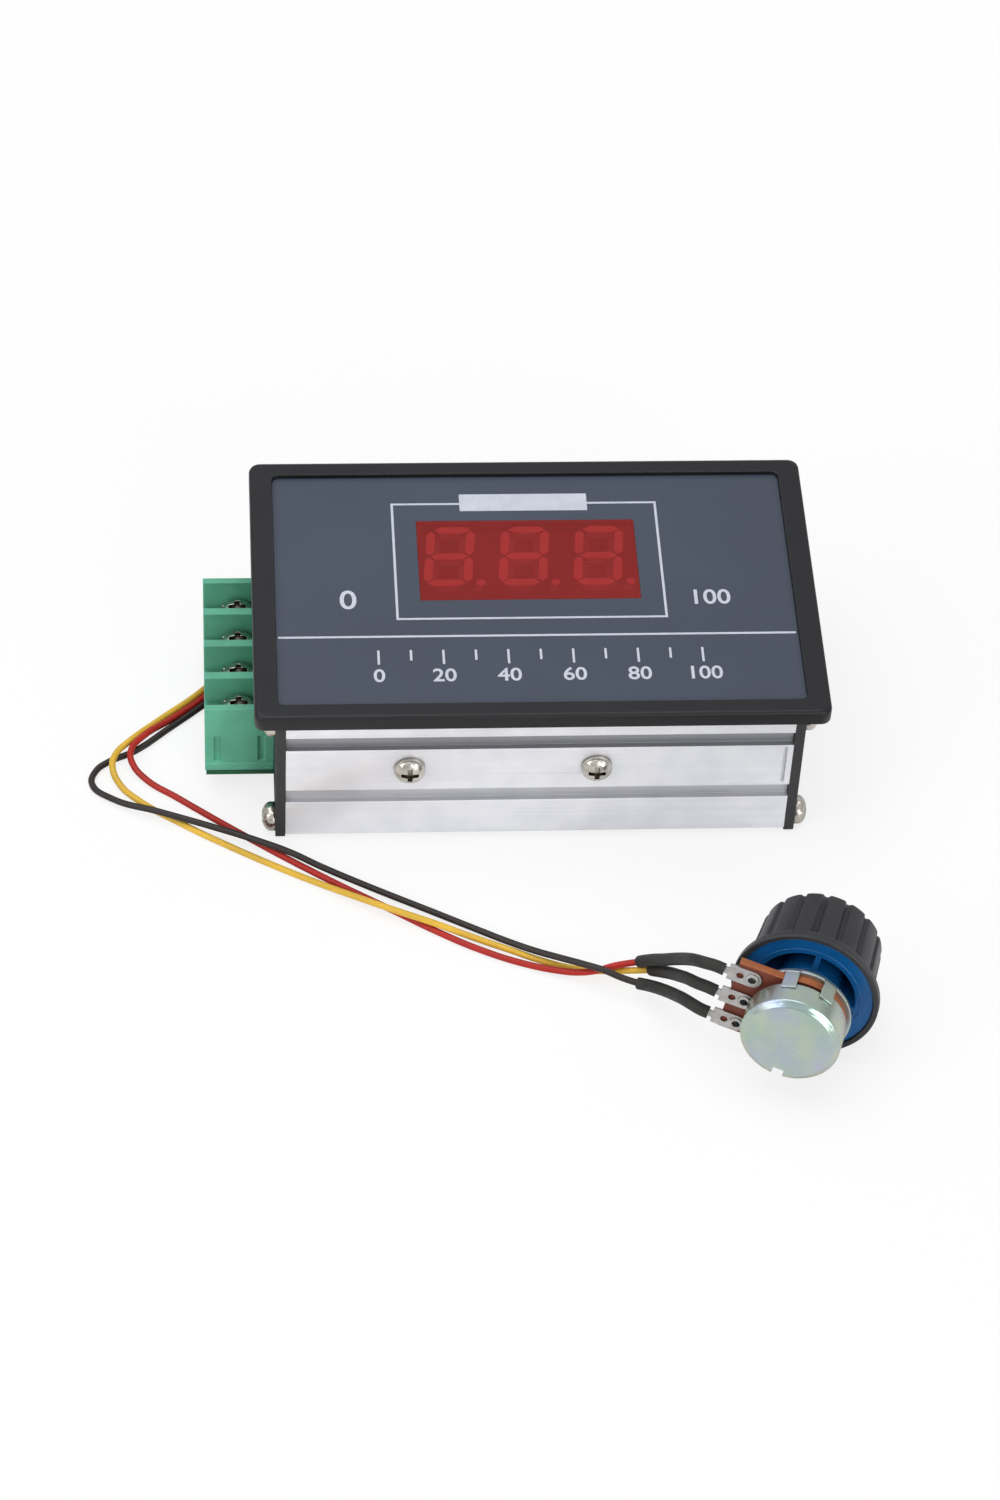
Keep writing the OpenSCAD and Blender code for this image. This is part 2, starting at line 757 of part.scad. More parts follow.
module insulating_bushes() {
    color([0.9, 0.9, 0.85]) at_clamp() difference() {
        union() {
            translate([0, 0, tab_y]) cylinder(r = tab_hole_r - fit, h = tab_t + eps, $fn = smooth);
            translate([0, 0, tab_front]) cylinder(r = bush_flange_r, h = bush_flange_t, $fn = smooth);
        }
        translate([0, 0, tab_y - eps])
            cylinder(r = clamp_shank_r + fit, h = tab_t + bush_flange_t + 2 * eps, $fn = smooth);
    }
}

module insulating_pads() {
    color([0.75, 0.75, 0.78]) at_clamp() translate([0, 0, pad_y]) difference() {
        translate([-tab_w / 2 - pad_over, -tab_above - pad_over, 0])
            cube([tab_w + 2 * pad_over, tab_above + tab_below + pad_over, pad_t]);
        translate([0, 0, -eps]) cylinder(r = tab_hole_r, h = pad_t + 2 * eps, $fn = smooth);
    }
}

// A power part in its clamp's frame: its tab lies on the pad and its leads point down along +y
module power_part(leads) {
    lead_len = clamp_z - tab_below - (board_z - lead_proud);
    translate([0, 0, tab_y]) {
        difference() {
            translate([-tab_w / 2, -tab_above, 0]) cube([tab_w, tab_above + tab_below, tab_t]);
            translate([0, 0, -eps]) cylinder(r = tab_hole_r, h = tab_t + 2 * eps, $fn = smooth);
        }
        translate([-tab_w / 2, tab_below - power_body_h, tab_t - eps])
            cube([tab_w, power_body_h, power_body_t - tab_t + eps]);
        for (i = leads) translate([i * power_lead_step - power_lead_w / 2, tab_below - eps, power_lead_in])
            cube([power_lead_w, lead_len + eps, power_lead_t]);
    }
}

module power_transistor() {
    color([0.16, 0.16, 0.17]) at_one_clamp(clamp_right) power_part([-1, 0, 1]);
}

module flywheel_diode() {
    color([0.16, 0.16, 0.17]) at_one_clamp(-clamp_left) power_part([-1, 1]);
}

// Main board and what stands on it

module main_board() {
    lead_y = tab_y + power_lead_in + power_lead_t / 2;
    color([0.1, 0.4, 0.22]) at_case() difference() {
        translate([0, 0, board_z]) {
            translate([-board_left, -board_half_d, 0])
                cube([board_left + board_right, 2 * board_half_d, board_t]);
            translate([-tongue_end, -tongue_half, 0]) cube([tongue_end, 2 * tongue_half, board_t]);
            translate([0, -tab_half, 0]) cube([board_right + tab_l, 2 * tab_half, board_t]);
        }
        translate([0, 0, board_z - eps]) {
            for (x = [clamp_right - power_lead_step, clamp_right, clamp_right + power_lead_step,
                    -clamp_left - power_lead_step, -clamp_left + power_lead_step])
                translate([x, lead_y, 0]) cylinder(r = power_lead_w, h = board_t + 2 * eps, $fn = fine);
            for (y = pole_y) translate([contact_pin_x, y, 0])
                cylinder(r = contact_pin, h = board_t + 2 * eps, $fn = fine);
            header_pins_at() cylinder(r = pin_hole_r, h = board_t + 2 * eps, $fn = fine);
            chip_pins_at() cylinder(r = pin_hole_r, h = board_t + 2 * eps, $fn = fine);
            cap_leads_at() cylinder(r = pin_hole_r, h = board_t + 2 * eps, $fn = fine);
            socket_pins_at() cylinder(r = pin_hole_r, h = board_t + 2 * eps, $fn = fine);
        }
    }
}

contact_pin_in = 1.6;
contact_pin_x = block_x + block_l - back_wall - contact_pin_in;

module terminal_block() {
    color([0.28, 0.62, 0.47]) at_case() difference() {
        union() {
            translate([block_x, -block_half, block_z]) cube([block_l, 2 * block_half, foot_h]);
            translate([block_x, -block_half + foot_in, block_z])
                cube([block_l, 2 * (block_half - foot_in), block_floor]);
            for (i = [-poles / 2:poles / 2])
                translate([block_x, i * pole_step - pole_wall / 2 + barrier_in(i), block_z])
                    cube([block_l, pole_wall - foot_in * abs(sign_end(i)), block_h]);
            translate([block_x + block_l - back_wall, -block_half + foot_in, block_z])
                cube([back_wall, 2 * (block_half - foot_in), block_h]);
        }
        for (y = pole_y) translate([screw_x, y, pocket_z - shank_well_deep])
            cylinder(r = shank_well_r, h = shank_well_deep + eps, $fn = smooth);
        for (y = pole_y) translate([contact_pin_x, y, block_z - eps])
            block(contact_pin + board_gap, contact_pin + board_gap, block_floor + 2 * eps);
        mirrored([0, 1, 0]) for (x = [block_x + slot_in, block_x + block_l - slot_in - slot_w])
            translate([x, -block_half - eps, block_z + foot_h + slot_low])
                cube([slot_w, slot_deep + eps, block_floor - foot_h - 2 * slot_low]);
    }
}

function sign_end(i) = abs(i) == poles / 2 ? sign(i) : 0;
function barrier_in(i) = sign_end(i) < 0 ? foot_in : 0;

module terminal_contacts() {
    color([0.8, 0.78, 0.72]) for (i = [0:poles - 1]) at_pole(i) difference() {
        union() {
            translate([contact_pin_x - screw_x + contact_pin / 2 - contact_l, -contact_w / 2, pocket_z])
                cube([contact_l, contact_w, contact_t]);
            translate([contact_pin_x - screw_x, 0, board_z - lead_proud])
                block(contact_pin, contact_pin, pocket_z + eps - board_z + lead_proud);
        }
        translate([0, 0, pocket_z - eps])
            cylinder(r = contact_bore_r, h = contact_t + 2 * eps, $fn = smooth);
    }
}

// The ends of the washer turn up a little, to hold the wire under it
module clamp_washer(i) {
    color([0.78, 0.76, 0.72]) at_pole(i) translate([0, 0, washer_z]) difference() {
        round_plate(washer_l, washer_w, washer_t, washer_t);
        translate([0, 0, -eps]) cylinder(r = terminal_shank_r + fit, h = washer_t + 2 * eps, $fn = smooth);
        for (y = [-washer_groove_y, washer_groove_y]) translate([-washer_l, y, washer_t])
            rotate([0, 90, 0]) cylinder(r = washer_groove_r, h = 2 * washer_l, $fn = fine);
    }
}

washer_groove_y = 2.3;
washer_groove_r = 0.35;

module terminal_screw(i) {
    top = washer_z + washer_t;
    color([0.75, 0.73, 0.7]) at_pole(i) translate([0, 0, top]) {
        pan_head(terminal_head_d, terminal_head_h);
        translate([0, 0, -terminal_shank_l])
            cylinder(r = terminal_shank_r, h = terminal_shank_l + eps, $fn = smooth);
    }
}

module clamp_washer_1() { clamp_washer(0); }
module clamp_washer_2() { clamp_washer(1); }
module clamp_washer_3() { clamp_washer(2); }
module clamp_washer_4() { clamp_washer(3); }
module terminal_screw_1() { terminal_screw(0); }
module terminal_screw_2() { terminal_screw(1); }
module terminal_screw_3() { terminal_screw(2); }
module terminal_screw_4() { terminal_screw(3); }

module capacitors() {
    color([0.12, 0.14, 0.2]) at_case() {
        for (x = cap_x) translate([x, cap_y, board_top]) rotate_extrude($fn = smooth) polygon([
            [0, 0], [cap_r, 0], [cap_r, cap_bead], [cap_r - cap_waist, cap_bead + cap_waist],
            [cap_r, cap_bead + 2 * cap_waist], [cap_r, cap_h - cap_waist],
            [cap_r - cap_waist, cap_h], [0, cap_h]
        ]);
        cap_leads_at() translate([0, 0, board_z]) cylinder(r = pin_r, h = board_t + eps, $fn = fine);
    }
}

cap_bead = 1.4;
cap_waist = 0.4;
cap_lead = 2.5;

module cap_leads_at() {
    for (x = cap_x) for (s = [-cap_lead, cap_lead]) translate([x + s, cap_y, 0]) children();
}

module control_chip() {
    color([0.14, 0.14, 0.15]) at_case() {
        translate([chip_x, chip_y, board_top + chip_foot]) difference() {
            block(chip_l, chip_w, chip_h);
            translate([-chip_l / 2, 0, chip_h]) sphere(r = chip_foot, $fn = fine);
        }
        chip_pins_at() translate([0, 0, board_z])
            cylinder(r = pin_r, h = board_t + 2 * chip_foot, $fn = fine);
    }
}

chip_foot = 0.6;

module chip_pins_at() {
    for (i = [0:chip_pins_a_side - 1]) for (s = [-1, 1])
        translate([chip_x + (i - (chip_pins_a_side - 1) / 2) * pin_step,
            chip_y + s * (chip_w / 2 - chip_foot), 0]) children();
}

module board_link_header() {
    color([0.15, 0.15, 0.16]) at_case() {
        for (z = [board_top, dboard_z - header_h]) translate([header_x, header_y, z])
            block(header_pins * pin_step, header_w, header_h);
        header_pins_at() translate([0, 0, board_z])
            cylinder(r = pin_r, h = dboard_top - board_z, $fn = fine);
    }
}

module header_pins_at() {
    for (i = [0:header_pins - 1])
        translate([header_x + (i - (header_pins - 1) / 2) * pin_step, header_y, 0]) children();
}

// A board socket that opens to the left, and the plug that sits in it
module pot_socket() {
    color([0.92, 0.91, 0.86]) at_case() {
        translate([socket_x, socket_y, board_top]) difference() {
            block(socket_l, socket_w, socket_h);
            translate([-socket_l / 2 - eps, -plug_w / 2 - fit, plug_low - fit])
                cube([plug_l - plug_out + fit, plug_w + 2 * fit, plug_h + 2 * fit]);
        }
        socket_pins_at() translate([0, 0, board_z])
            cylinder(r = pin_r, h = board_t + plug_low / 2, $fn = fine);
    }
}

plug_w = 7.8;
plug_h = 3.6;
plug_low = 1.2;

module socket_pins_at() {
    for (i = [-1:1]) translate([socket_x + socket_l / 3, socket_y + i * pin_step, 0]) children();
}

module pot_plug() {
    color([0.94, 0.93, 0.9]) at_case()
        translate([socket_x - socket_l / 2 - plug_out, socket_y - plug_w / 2, board_top + plug_low])
            cube([plug_l - eps, plug_w, plug_h]);
}

module cable_grommet() {
    reach = plate_t + 2 * grommet_flange_t;
    color([0.1, 0.1, 0.1]) at_case() translate([-plate_out - grommet_flange_t, grommet_y, grommet_z])
        rotate([0, 90, 0]) difference() {
            union() {
                cylinder(r = grommet_r - fit, h = reach, $fn = smooth);
                cylinder(r = grommet_flange_r, h = grommet_flange_t, $fn = smooth);
                translate([0, 0, reach - grommet_flange_t])
                    cylinder(r = grommet_flange_r, h = grommet_flange_t, $fn = smooth);
            }
            translate([0, 0, -eps]) cylinder(r = grommet_bore_r, h = reach + 2 * eps, $fn = smooth);
        }
}

// Wires and sleeves

function unit(v) = v / norm(v);

function along(p, i) = unit(
    i == 0 ? p[1] - p[0] :
    i == len(p) - 1 ? p[i] - p[i - 1] :
    unit(p[i] - p[i - 1]) + unit(p[i + 1] - p[i])
);

// A point on a smooth line through p[i] and p[i + 1]
function between(p, i, t) =
    let (a = p[max(i - 1, 0)], b = p[i], c = p[i + 1], d = p[min(i + 2, len(p) - 1)])
    ((2 * b) + (c - a) * t + (2 * a - 5 * b + 4 * c - d) * t * t + (3 * b - a - 3 * c + d) * t * t * t) / 2;

function smooth_line(p) = concat(
    [for (i = [0:len(p) - 2]) for (t = [0, 0.5]) between(p, i, t)],
    [p[len(p) - 1]]
);

// A tube along the points from one number to another
module tube(p, d, sides, from, to) {
    count = to - from + 1;
    ring = [for (i = [from:to])
        let (t = along(p, i), side = unit(cross([0, 0, 1], t)), up = cross(t, side))
        for (k = [0:sides - 1]) let (a = 360 * k / sides)
            p[i] + (side * cos(a) + up * sin(a)) * d / 2];
    walls = [for (i = [0:count - 2]) for (k = [0:sides - 1])
        let (a = i * sides + k, b = i * sides + (k + 1) % sides)
        each [[a, a + sides, b], [b, a + sides, b + sides]]];
    first = [for (k = [1:sides - 2]) [0, k, k + 1]];
    base = (count - 1) * sides;
    last = [for (k = [1:sides - 2]) [base, base + k + 1, base + k]];
    polyhedron(points = ring, faces = concat(walls, first, last));
}

module wire(p, to) {
    at_case() tube(smooth_line(p), wire_d, wire_sides, 0, 2 * to);
}

module sleeve(p, from) {
    at_case() tube(smooth_line(p), sleeve_d, wire_sides, 2 * from, 2 * (len(p) - 1));
}

module wire_red() { color([0.75, 0.2, 0.2]) wire(red_points, red_sleeve_from); }
module wire_yellow() { color([0.88, 0.75, 0.3]) wire(yellow_points, yellow_sleeve_from); }
module wire_black() { color([0.2, 0.18, 0.18]) wire(black_points, black_sleeve_from); }
module sleeve_red() { color([0.23, 0.23, 0.22]) sleeve(red_points, red_sleeve_from); }
module sleeve_yellow() { color([0.23, 0.23, 0.22]) sleeve(yellow_points, yellow_sleeve_from); }
module sleeve_black() { color([0.23, 0.23, 0.22]) sleeve(black_points, black_sleeve_from); }

// Potentiometer. Its frame has +z along the shaft, away from the can's back, and its lugs along -x.

module pot_can() {
    color([0.76, 0.79, 0.74]) at_pot() difference() {
        union() {
            rotate_extrude($fn = smooth) polygon([
                [0, 0], [disc_r - rim_r, 0], [disc_r, rim_r], [can_r, rim_r + (can_r - disc_r) / 2],
                [can_r, can_l], [can_r - can_wall, can_l], [can_r - can_wall, 2 * can_wall], [0, can_wall]
            ]);
        }
        translate([-can_r - eps, -wafer_half, lug_z - lug_t]) cube([can_r, 2 * wafer_half, can_l]);
        translate([-notch_w / 2, can_r - notch_deep, -eps])
            cube([notch_w, notch_deep + eps, can_l + 2 * eps]);
        translate([-window_w / 2, -can_r - eps, can_l - window_deep]) cube([window_w, can_r / 2, can_l]);
    }
}

notch_w = 1.9;
notch_deep = 2;
window_w = 5.2;
window_deep = 1;

module pot_wafer() {
    color([0.62, 0.34, 0.22]) at_pot() translate([0, 0, can_l]) difference() {
        union() {
            cylinder(r = wafer_r, h = wafer_t, $fn = smooth);
            translate([-wafer_reach, -wafer_half, 0]) cube([wafer_reach, 2 * wafer_half, wafer_t]);
        }
        translate([0, 0, -eps]) cylinder(r = shaft_r + board_gap, h = wafer_t + 2 * eps, $fn = smooth);
        for (i = [-1:1]) translate([-rivet_x, i * lug_step, -eps])
            cylinder(r = rivet_bore_r + 3 * fit, h = wafer_t + 2 * eps, $fn = fine);
    }
}

module pot_lugs() {
    color([0.79, 0.78, 0.76]) at_pot() for (i = [-1:1]) translate([0, i * lug_step, lug_z]) difference() {
        union() {
            translate([-rivet_x, 0, 0]) cylinder(r = lug_w / 2, h = lug_t, $fn = smooth);
            translate([-lug_reach, -lug_w / 2, 0]) cube([lug_reach - rivet_x, lug_w, lug_t]);
            translate([-lug_reach - neck_l, -neck_w / 2, 0])
                cube([lug_reach + neck_l - rivet_x, neck_w, lug_t]);
        }
        translate([-rivet_x, 0, -eps])
            cylinder(r = rivet_bore_r + 3 * fit, h = lug_t + 2 * eps, $fn = fine);
        translate([-wire_hole_x, 0, -eps]) cylinder(r = wire_hole_r, h = lug_t + 2 * eps, $fn = fine);
    }
}

neck_w = 1.2;
neck_l = 0.6;

// Hollow rivets that hold the lugs on the wafer
module pot_rivets() {
    color([0.8, 0.8, 0.78]) at_pot() for (i = [-1:1]) translate([-rivet_x, i * lug_step, 0]) difference() {
        union() {
            translate([0, 0, lug_z - rivet_rim]) cylinder(r = rivet_r, h = rivet_rim, $fn = fine);
            translate([0, 0, lug_z - rivet_rim])
                cylinder(r = rivet_bore_r + 2 * fit, h = lug_t + wafer_t + 2 * rivet_rim, $fn = fine);
            translate([0, 0, front_z]) cylinder(r = rivet_r, h = rivet_rim, $fn = fine);
        }
        translate([0, 0, lug_z - rivet_rim - eps]) cylinder(r = rivet_bore_r - fit, h = can_l, $fn = fine);
    }
}

// Carbon track on the wafer's inner face, open towards the lugs
module resistance_track() {
    color([0.1, 0.1, 0.1]) at_pot() translate([0, 0, can_l - track_t]) difference() {
        cylinder(r = track_r, h = track_t, $fn = smooth);
        translate([0, 0, -eps]) cylinder(r = track_r - track_w, h = track_t + 2 * eps, $fn = smooth);
        translate([-can_r, -track_gap / 2, -eps]) cube([can_r, track_gap, track_t + 2 * eps]);
    }
}

track_gap = 4;

module pot_front_plate() {
    color([0.78, 0.8, 0.78]) at_pot() difference() {
        union() {
            translate([0, 0, front_z]) intersection() {
                cylinder(r = front_r, h = front_t, $fn = smooth);
                translate([-front_flat, -front_r, 0]) cube([2 * front_r, 2 * front_r, front_t]);
            }
            for (a = tab_turns) rotate([0, 0, a]) translate([can_r, -tab_half_w, can_l - tab_hang])
                cube([front_r - can_r, 2 * tab_half_w, wafer_t + tab_hang + eps]);
        }
        translate([0, 0, front_z - eps]) cylinder(r = shaft_bore_r, h = front_t + 2 * eps, $fn = smooth);
        for (i = [-1:1]) translate([-rivet_x, i * lug_step, front_z - eps])
            cylinder(r = rivet_r + fit, h = front_t + 2 * eps, $fn = fine);
    }
}

tab_turns = [68, 112, -68, -112];
tab_half_w = 1.2;
tab_hang = 2.2;
front_flat = 7.2;

// Bushing with its collar and its thread as rings
module pot_bushing() {
    rings = floor((bushing_l - collar_l) / thread_pitch);
    ring_step = (bushing_l - collar_l) / (rings + 1 / 2);
    color([0.8, 0.8, 0.78]) at_pot() translate([0, 0, bushing_z]) rotate_extrude($fn = smooth)
        polygon(concat(
            [[shaft_bore_r, bushing_l], [shaft_bore_r, 0], [bushing_r, 0], [bushing_r, collar_l]],
            [for (i = [0:rings - 1]) for (q = [0, 1])
                [q == 0 ? thread_r : bushing_r, collar_l + (i + (q + 1) / 2) * ring_step]],
            [[thread_r, bushing_l]]
        ));
}

module pot_shaft() {
    color([0.83, 0.83, 0.82]) at_pot() difference() {
        translate([0, 0, rotor_low]) cylinder(r = shaft_r, h = shaft_end - rotor_low, $fn = smooth);
        translate([-shaft_r - eps, -shaft_slot_w / 2, shaft_end - shaft_slot_deep])
            cube([2 * shaft_r + 2 * eps, shaft_slot_w, shaft_slot_deep + eps]);
    }
}

module pot_rotor() {
    color([0.9, 0.88, 0.8]) at_pot() translate([0, 0, rotor_low]) difference() {
        union() {
            cylinder(r = rotor_r, h = rotor_web, $fn = smooth);
            cylinder(r = rotor_hub_r, h = rotor_high - rotor_low, $fn = smooth);
        }
        translate([0, 0, -eps]) cylinder(r = grip_r, h = rotor_high, $fn = smooth);
    }
}

rotor_web = 1.4;
rotor_hub_r = 4;

// Spring wiper on the rotor, with two fingers that reach the track
module pot_wiper() {
    top = rotor_low + rotor_web;
    finger = can_l - track_t - fit - top;
    color([0.85, 0.7, 0.4]) at_pot() {
        translate([0, 0, top]) difference() {
            cylinder(r = track_r, h = wiper_t, $fn = smooth);
            translate([0, 0, -eps]) cylinder(r = rotor_hub_r + fit, h = wiper_t + 2 * eps, $fn = smooth);
        }
        for (y = [-finger_gap, finger_gap]) translate([track_r - track_w / 2, y, top])
            block(wiper_t, wiper_t, finger);
    }
}

finger_gap = 0.5;

// Knob

module knob_insert() {
    floor_at = knob_z + recess_deep - insert_flange_t;
    ring_r = cavity_r - insert_gap;
    deep = knob_end - roof_t - insert_gap - floor_at;
    hub_bore_end = bushing_z + bushing_l + 2 * board_gap;
    color([0.05, 0.36, 0.63]) at_pot() difference() {
        union() {
            translate([0, 0, floor_at + eps])
                cylinder(r = recess_r - insert_gap, h = insert_flange_t - eps, $fn = smooth);
            translate([0, 0, floor_at]) cylinder(r = ring_r, h = insert_ring_h, $fn = smooth);
            translate([0, 0, floor_at]) cylinder(r = hub_r, h = deep, $fn = smooth);
        }
        translate([0, 0, floor_at - eps]) difference() {
            cylinder(r = ring_r - insert_wall, h = insert_ring_h + 2 * eps, $fn = smooth);
            cylinder(r = hub_r, h = deep, $fn = smooth);
            for (a = [0, 90]) rotate([0, 0, a]) block(2 * ring_r, insert_wall, insert_ring_h + 2 * eps);
        }
        translate([0, 0, floor_at - eps])
            cylinder(r = hub_bore_r, h = hub_bore_end - floor_at + eps, $fn = smooth);
        translate([0, 0, floor_at])
            cylinder(r = grip_r, h = shaft_end + board_gap - floor_at, $fn = smooth);
    }
}

insert_ring_h = 8;

module knob_shell() {
    color([0.22, 0.22, 0.23]) at_pot() translate([0, 0, knob_z]) difference() {
        knob_solid();
        translate([0, 0, -eps]) cylinder(r = recess_r, h = recess_deep + eps, $fn = smooth);
        translate([0, 0, -eps]) cylinder(r = cavity_r, h = knob_l - roof_t + eps, $fn = smooth);
        for (i = [0:knob_lobes - 1]) rotate([0, 0, 360 * (i + 1 / 2) / knob_lobes]) knob_groove();
    }
}

module knob_solid() {
    rotate_extrude($fn = 2 * smooth) polygon([
        [0, 0], [knob_flange_r, 0], [knob_flange_r, knob_flange_t], [knob_body_r, knob_flange_t],
        [knob_crown_r, knob_l - crown_r],
        [knob_crown_r - crown_r * crown_share, knob_l - crown_r * crown_share],
        [knob_crown_r - crown_r, knob_l], [0, knob_l]
    ]);
}

crown_share = 0.3;

// One groove follows the body's taper from the flange to the crown
module knob_groove() {
    low = knob_flange_t;
    translate([0, knob_groove_w / 2, 0]) rotate([90, 0, 0]) linear_extrude(height = knob_groove_w)
        polygon([
            [knob_body_r - knob_groove_deep, low], [knob_body_r + crown_r, low],
            [knob_body_r + crown_r, knob_l + eps],
            [knob_crown_r - crown_r - knob_groove_deep, knob_l + eps],
            [knob_crown_r - knob_groove_deep, knob_l - crown_r]
        ]);
}

bezel();
front_label();
display_window();
led_display();
display_segments();
display_board();
display_board_screws();
case_extrusion();
left_end_plate();
right_end_plate();
end_plate_screws();
clamp_screws();
clamp_nuts();
insulating_bushes();
insulating_pads();
power_transistor();
flywheel_diode();
main_board();
terminal_block();
terminal_contacts();
clamp_washer_1();
clamp_washer_2();
clamp_washer_3();
clamp_washer_4();
terminal_screw_1();
terminal_screw_2();
terminal_screw_3();
terminal_screw_4();
capacitors();
control_chip();
board_link_header();
pot_socket();
pot_plug();
cable_grommet();
wire_red();
wire_yellow();
wire_black();
sleeve_red();
sleeve_yellow();
sleeve_black();
pot_can();
pot_wafer();
pot_lugs();
pot_rivets();
resistance_track();
pot_front_plate();
pot_bushing();
pot_shaft();
pot_rotor();
pot_wiper();
knob_insert();
knob_shell();
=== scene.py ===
import math

import bpy
from mathutils import Matrix, Vector


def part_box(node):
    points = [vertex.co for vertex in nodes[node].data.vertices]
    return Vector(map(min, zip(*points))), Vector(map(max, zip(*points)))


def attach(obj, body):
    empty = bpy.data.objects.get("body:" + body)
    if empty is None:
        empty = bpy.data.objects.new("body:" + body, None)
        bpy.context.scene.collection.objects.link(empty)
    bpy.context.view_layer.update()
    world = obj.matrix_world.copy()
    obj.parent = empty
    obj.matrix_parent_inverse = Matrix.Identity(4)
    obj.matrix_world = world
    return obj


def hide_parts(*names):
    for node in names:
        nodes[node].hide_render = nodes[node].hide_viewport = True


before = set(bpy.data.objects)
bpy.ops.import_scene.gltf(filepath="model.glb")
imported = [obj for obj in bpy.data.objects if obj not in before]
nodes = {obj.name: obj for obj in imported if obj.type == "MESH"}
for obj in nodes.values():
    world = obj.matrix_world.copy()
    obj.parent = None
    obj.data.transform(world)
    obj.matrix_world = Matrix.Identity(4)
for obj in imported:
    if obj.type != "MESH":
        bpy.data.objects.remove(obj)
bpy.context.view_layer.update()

# Camera
# It stands where the photograph was taken from, above the front and a little to the left.
bpy.ops.object.camera_add()
camera = bpy.context.object
camera.name = "photo_camera"
camera.data.sensor_fit = "HORIZONTAL"
camera.data.sensor_width = 36
camera.data.lens = 162.84
camera.data.clip_start = 0.05
camera.data.clip_end = 20
right = Vector((0.997812, -0.053140, 0.039326))
up = Vector((0.012351, 0.734232, 0.678786))
back = right.cross(up)
camera.matrix_world = Matrix.Translation((-0.055247, -0.511418, 0.576977)) @ Matrix(
    (right, up, back)
).transposed().to_4x4()
bpy.context.scene.camera = camera
bpy.context.scene.view_settings.view_transform = "Standard"


# Case
# A sawn length of extruded aluminium channel with two grooves along each long wall. The die leaves
# fine lines along it. Its grooves get painted shade: the colour is darkened in two height bands.
def tint(red, green, blue):
    """A colour from the 0 to 255 values that a screen shows."""
    shares = [value / 255 for value in (red, green, blue)]
    return [s / 12.92 if s <= 0.04045 else ((s + 0.055) / 1.055) ** 2.4 for s in shares] + [1]


def step(tree, kind, sockets=None, **settings):
    """One shader node with its settings, and its sockets set to values or linked to outputs."""
    made = tree.nodes.new(kind)
    for key, value in settings.items():
        setattr(made, key, value)
    for key, value in (sockets or {}).items():
        if isinstance(value, bpy.types.NodeSocket):
            tree.links.new(value, made.inputs[key])
        else:
            made.inputs[key].default_value = value
    return made


def mixed(tree, share, first, second):
    """The colour between two colours."""
    return step(tree, "ShaderNodeMix", {0: share, 6: first, 7: second}, data_type="RGBA").outputs[2]


def spread(tree, value, low, high, start=0.0, end=1.0):
    """A value spread from one pair of limits to another."""
    limits = {"Value": value, "From Min": start, "From Max": end, "To Min": low, "To Max": high}
    return step(tree, "ShaderNodeMapRange", limits).outputs[0]


def sum_of(tree, kind, first, second):
    """The result of one sum on two values."""
    return step(tree, "ShaderNodeMath", {0: first, 1: second}, operation=kind).outputs[0]


def dot_of(tree, first, second):
    """The dot product of two directions."""
    both = {0: first, 1: second}
    return step(tree, "ShaderNodeVectorMath", both, operation="DOT_PRODUCT").outputs["Value"]


def value_group(name, inputs, outputs):
    """A shader group with number sockets, and its input and output nodes."""
    group = bpy.data.node_groups.new(name, "ShaderNodeTree")
    for key, value in inputs.items():
        socket = group.interface.new_socket(key, in_out="INPUT", socket_type="NodeSocketFloat")
        socket.default_value = value
    for key in outputs:
        group.interface.new_socket(key, in_out="OUTPUT", socket_type="NodeSocketFloat")
    given = group.nodes.new("NodeGroupInput").outputs
    return group, given, group.nodes.new("NodeGroupOutput").inputs


skin, given, result = value_group(
    "grain_and_patches", {"Grain": 3000, "Patches": 120}, ("Grain", "Patches")
)
place = step(skin, "ShaderNodeTexCoord").outputs["Object"]
fine = step(skin, "ShaderNodeTexNoise", {"Vector": place, "Scale": given["Grain"], "Detail": 2})
broad = step(skin, "ShaderNodeTexNoise", {"Vector": place, "Scale": given["Patches"], "Detail": 5})
skin.links.new(fine.outputs[0], result["Grain"])
skin.links.new(spread(skin, broad.outputs[0], 0, 1, 0.3, 0.7), result["Patches"])

lines, given, result = value_group("drawn_lines", {"Along": 30, "Across": 3500}, ("Line",))
place = step(lines, "ShaderNodeTexCoord").outputs["Object"]
stretch = step(
    lines, "ShaderNodeCombineXYZ", {0: given["Along"], 1: given["Across"], 2: given["Across"]}
).outputs[0]
drawn = step(lines, "ShaderNodeVectorMath", {0: place, 1: stretch}, operation="MULTIPLY")
line = step(lines, "ShaderNodeTexNoise", {"Vector": drawn.outputs[0], "Scale": 1, "Detail": 4})
lines.links.new(spread(lines, line.outputs[0], 0, 1, 0.25, 0.75), result["Line"])

# Edge mask from a bevelled normal, broken by noise: the paler edges it gives are partly rubbed wear
# and partly a painted highlight.
edge_wear_and_highlight, given, result = value_group("rubbed_and_highlit_edges", {"Width": 0.0002, "Breaks": 900}, ("WearAndHighlight",))
flat = step(edge_wear_and_highlight, "ShaderNodeNewGeometry").outputs["Normal"]
soft = step(edge_wear_and_highlight, "ShaderNodeBevel", {"Radius": given["Width"]}, samples=4).outputs[0]
agree = dot_of(edge_wear_and_highlight, flat, soft)
place = step(edge_wear_and_highlight, "ShaderNodeTexCoord").outputs["Object"]
spots = {"Vector": place, "Scale": given["Breaks"], "Detail": 3}
breaks = step(edge_wear_and_highlight, "ShaderNodeTexNoise", spots).outputs[0]
broken = spread(edge_wear_and_highlight, breaks, 0.1, 1, 0.4, 0.6)
at_edge = spread(edge_wear_and_highlight, agree, 0, 1, 0.995, 0.9)
edge_wear_and_highlight.links.new(sum_of(edge_wear_and_highlight, "MULTIPLY", at_edge, broken), result["WearAndHighlight"])


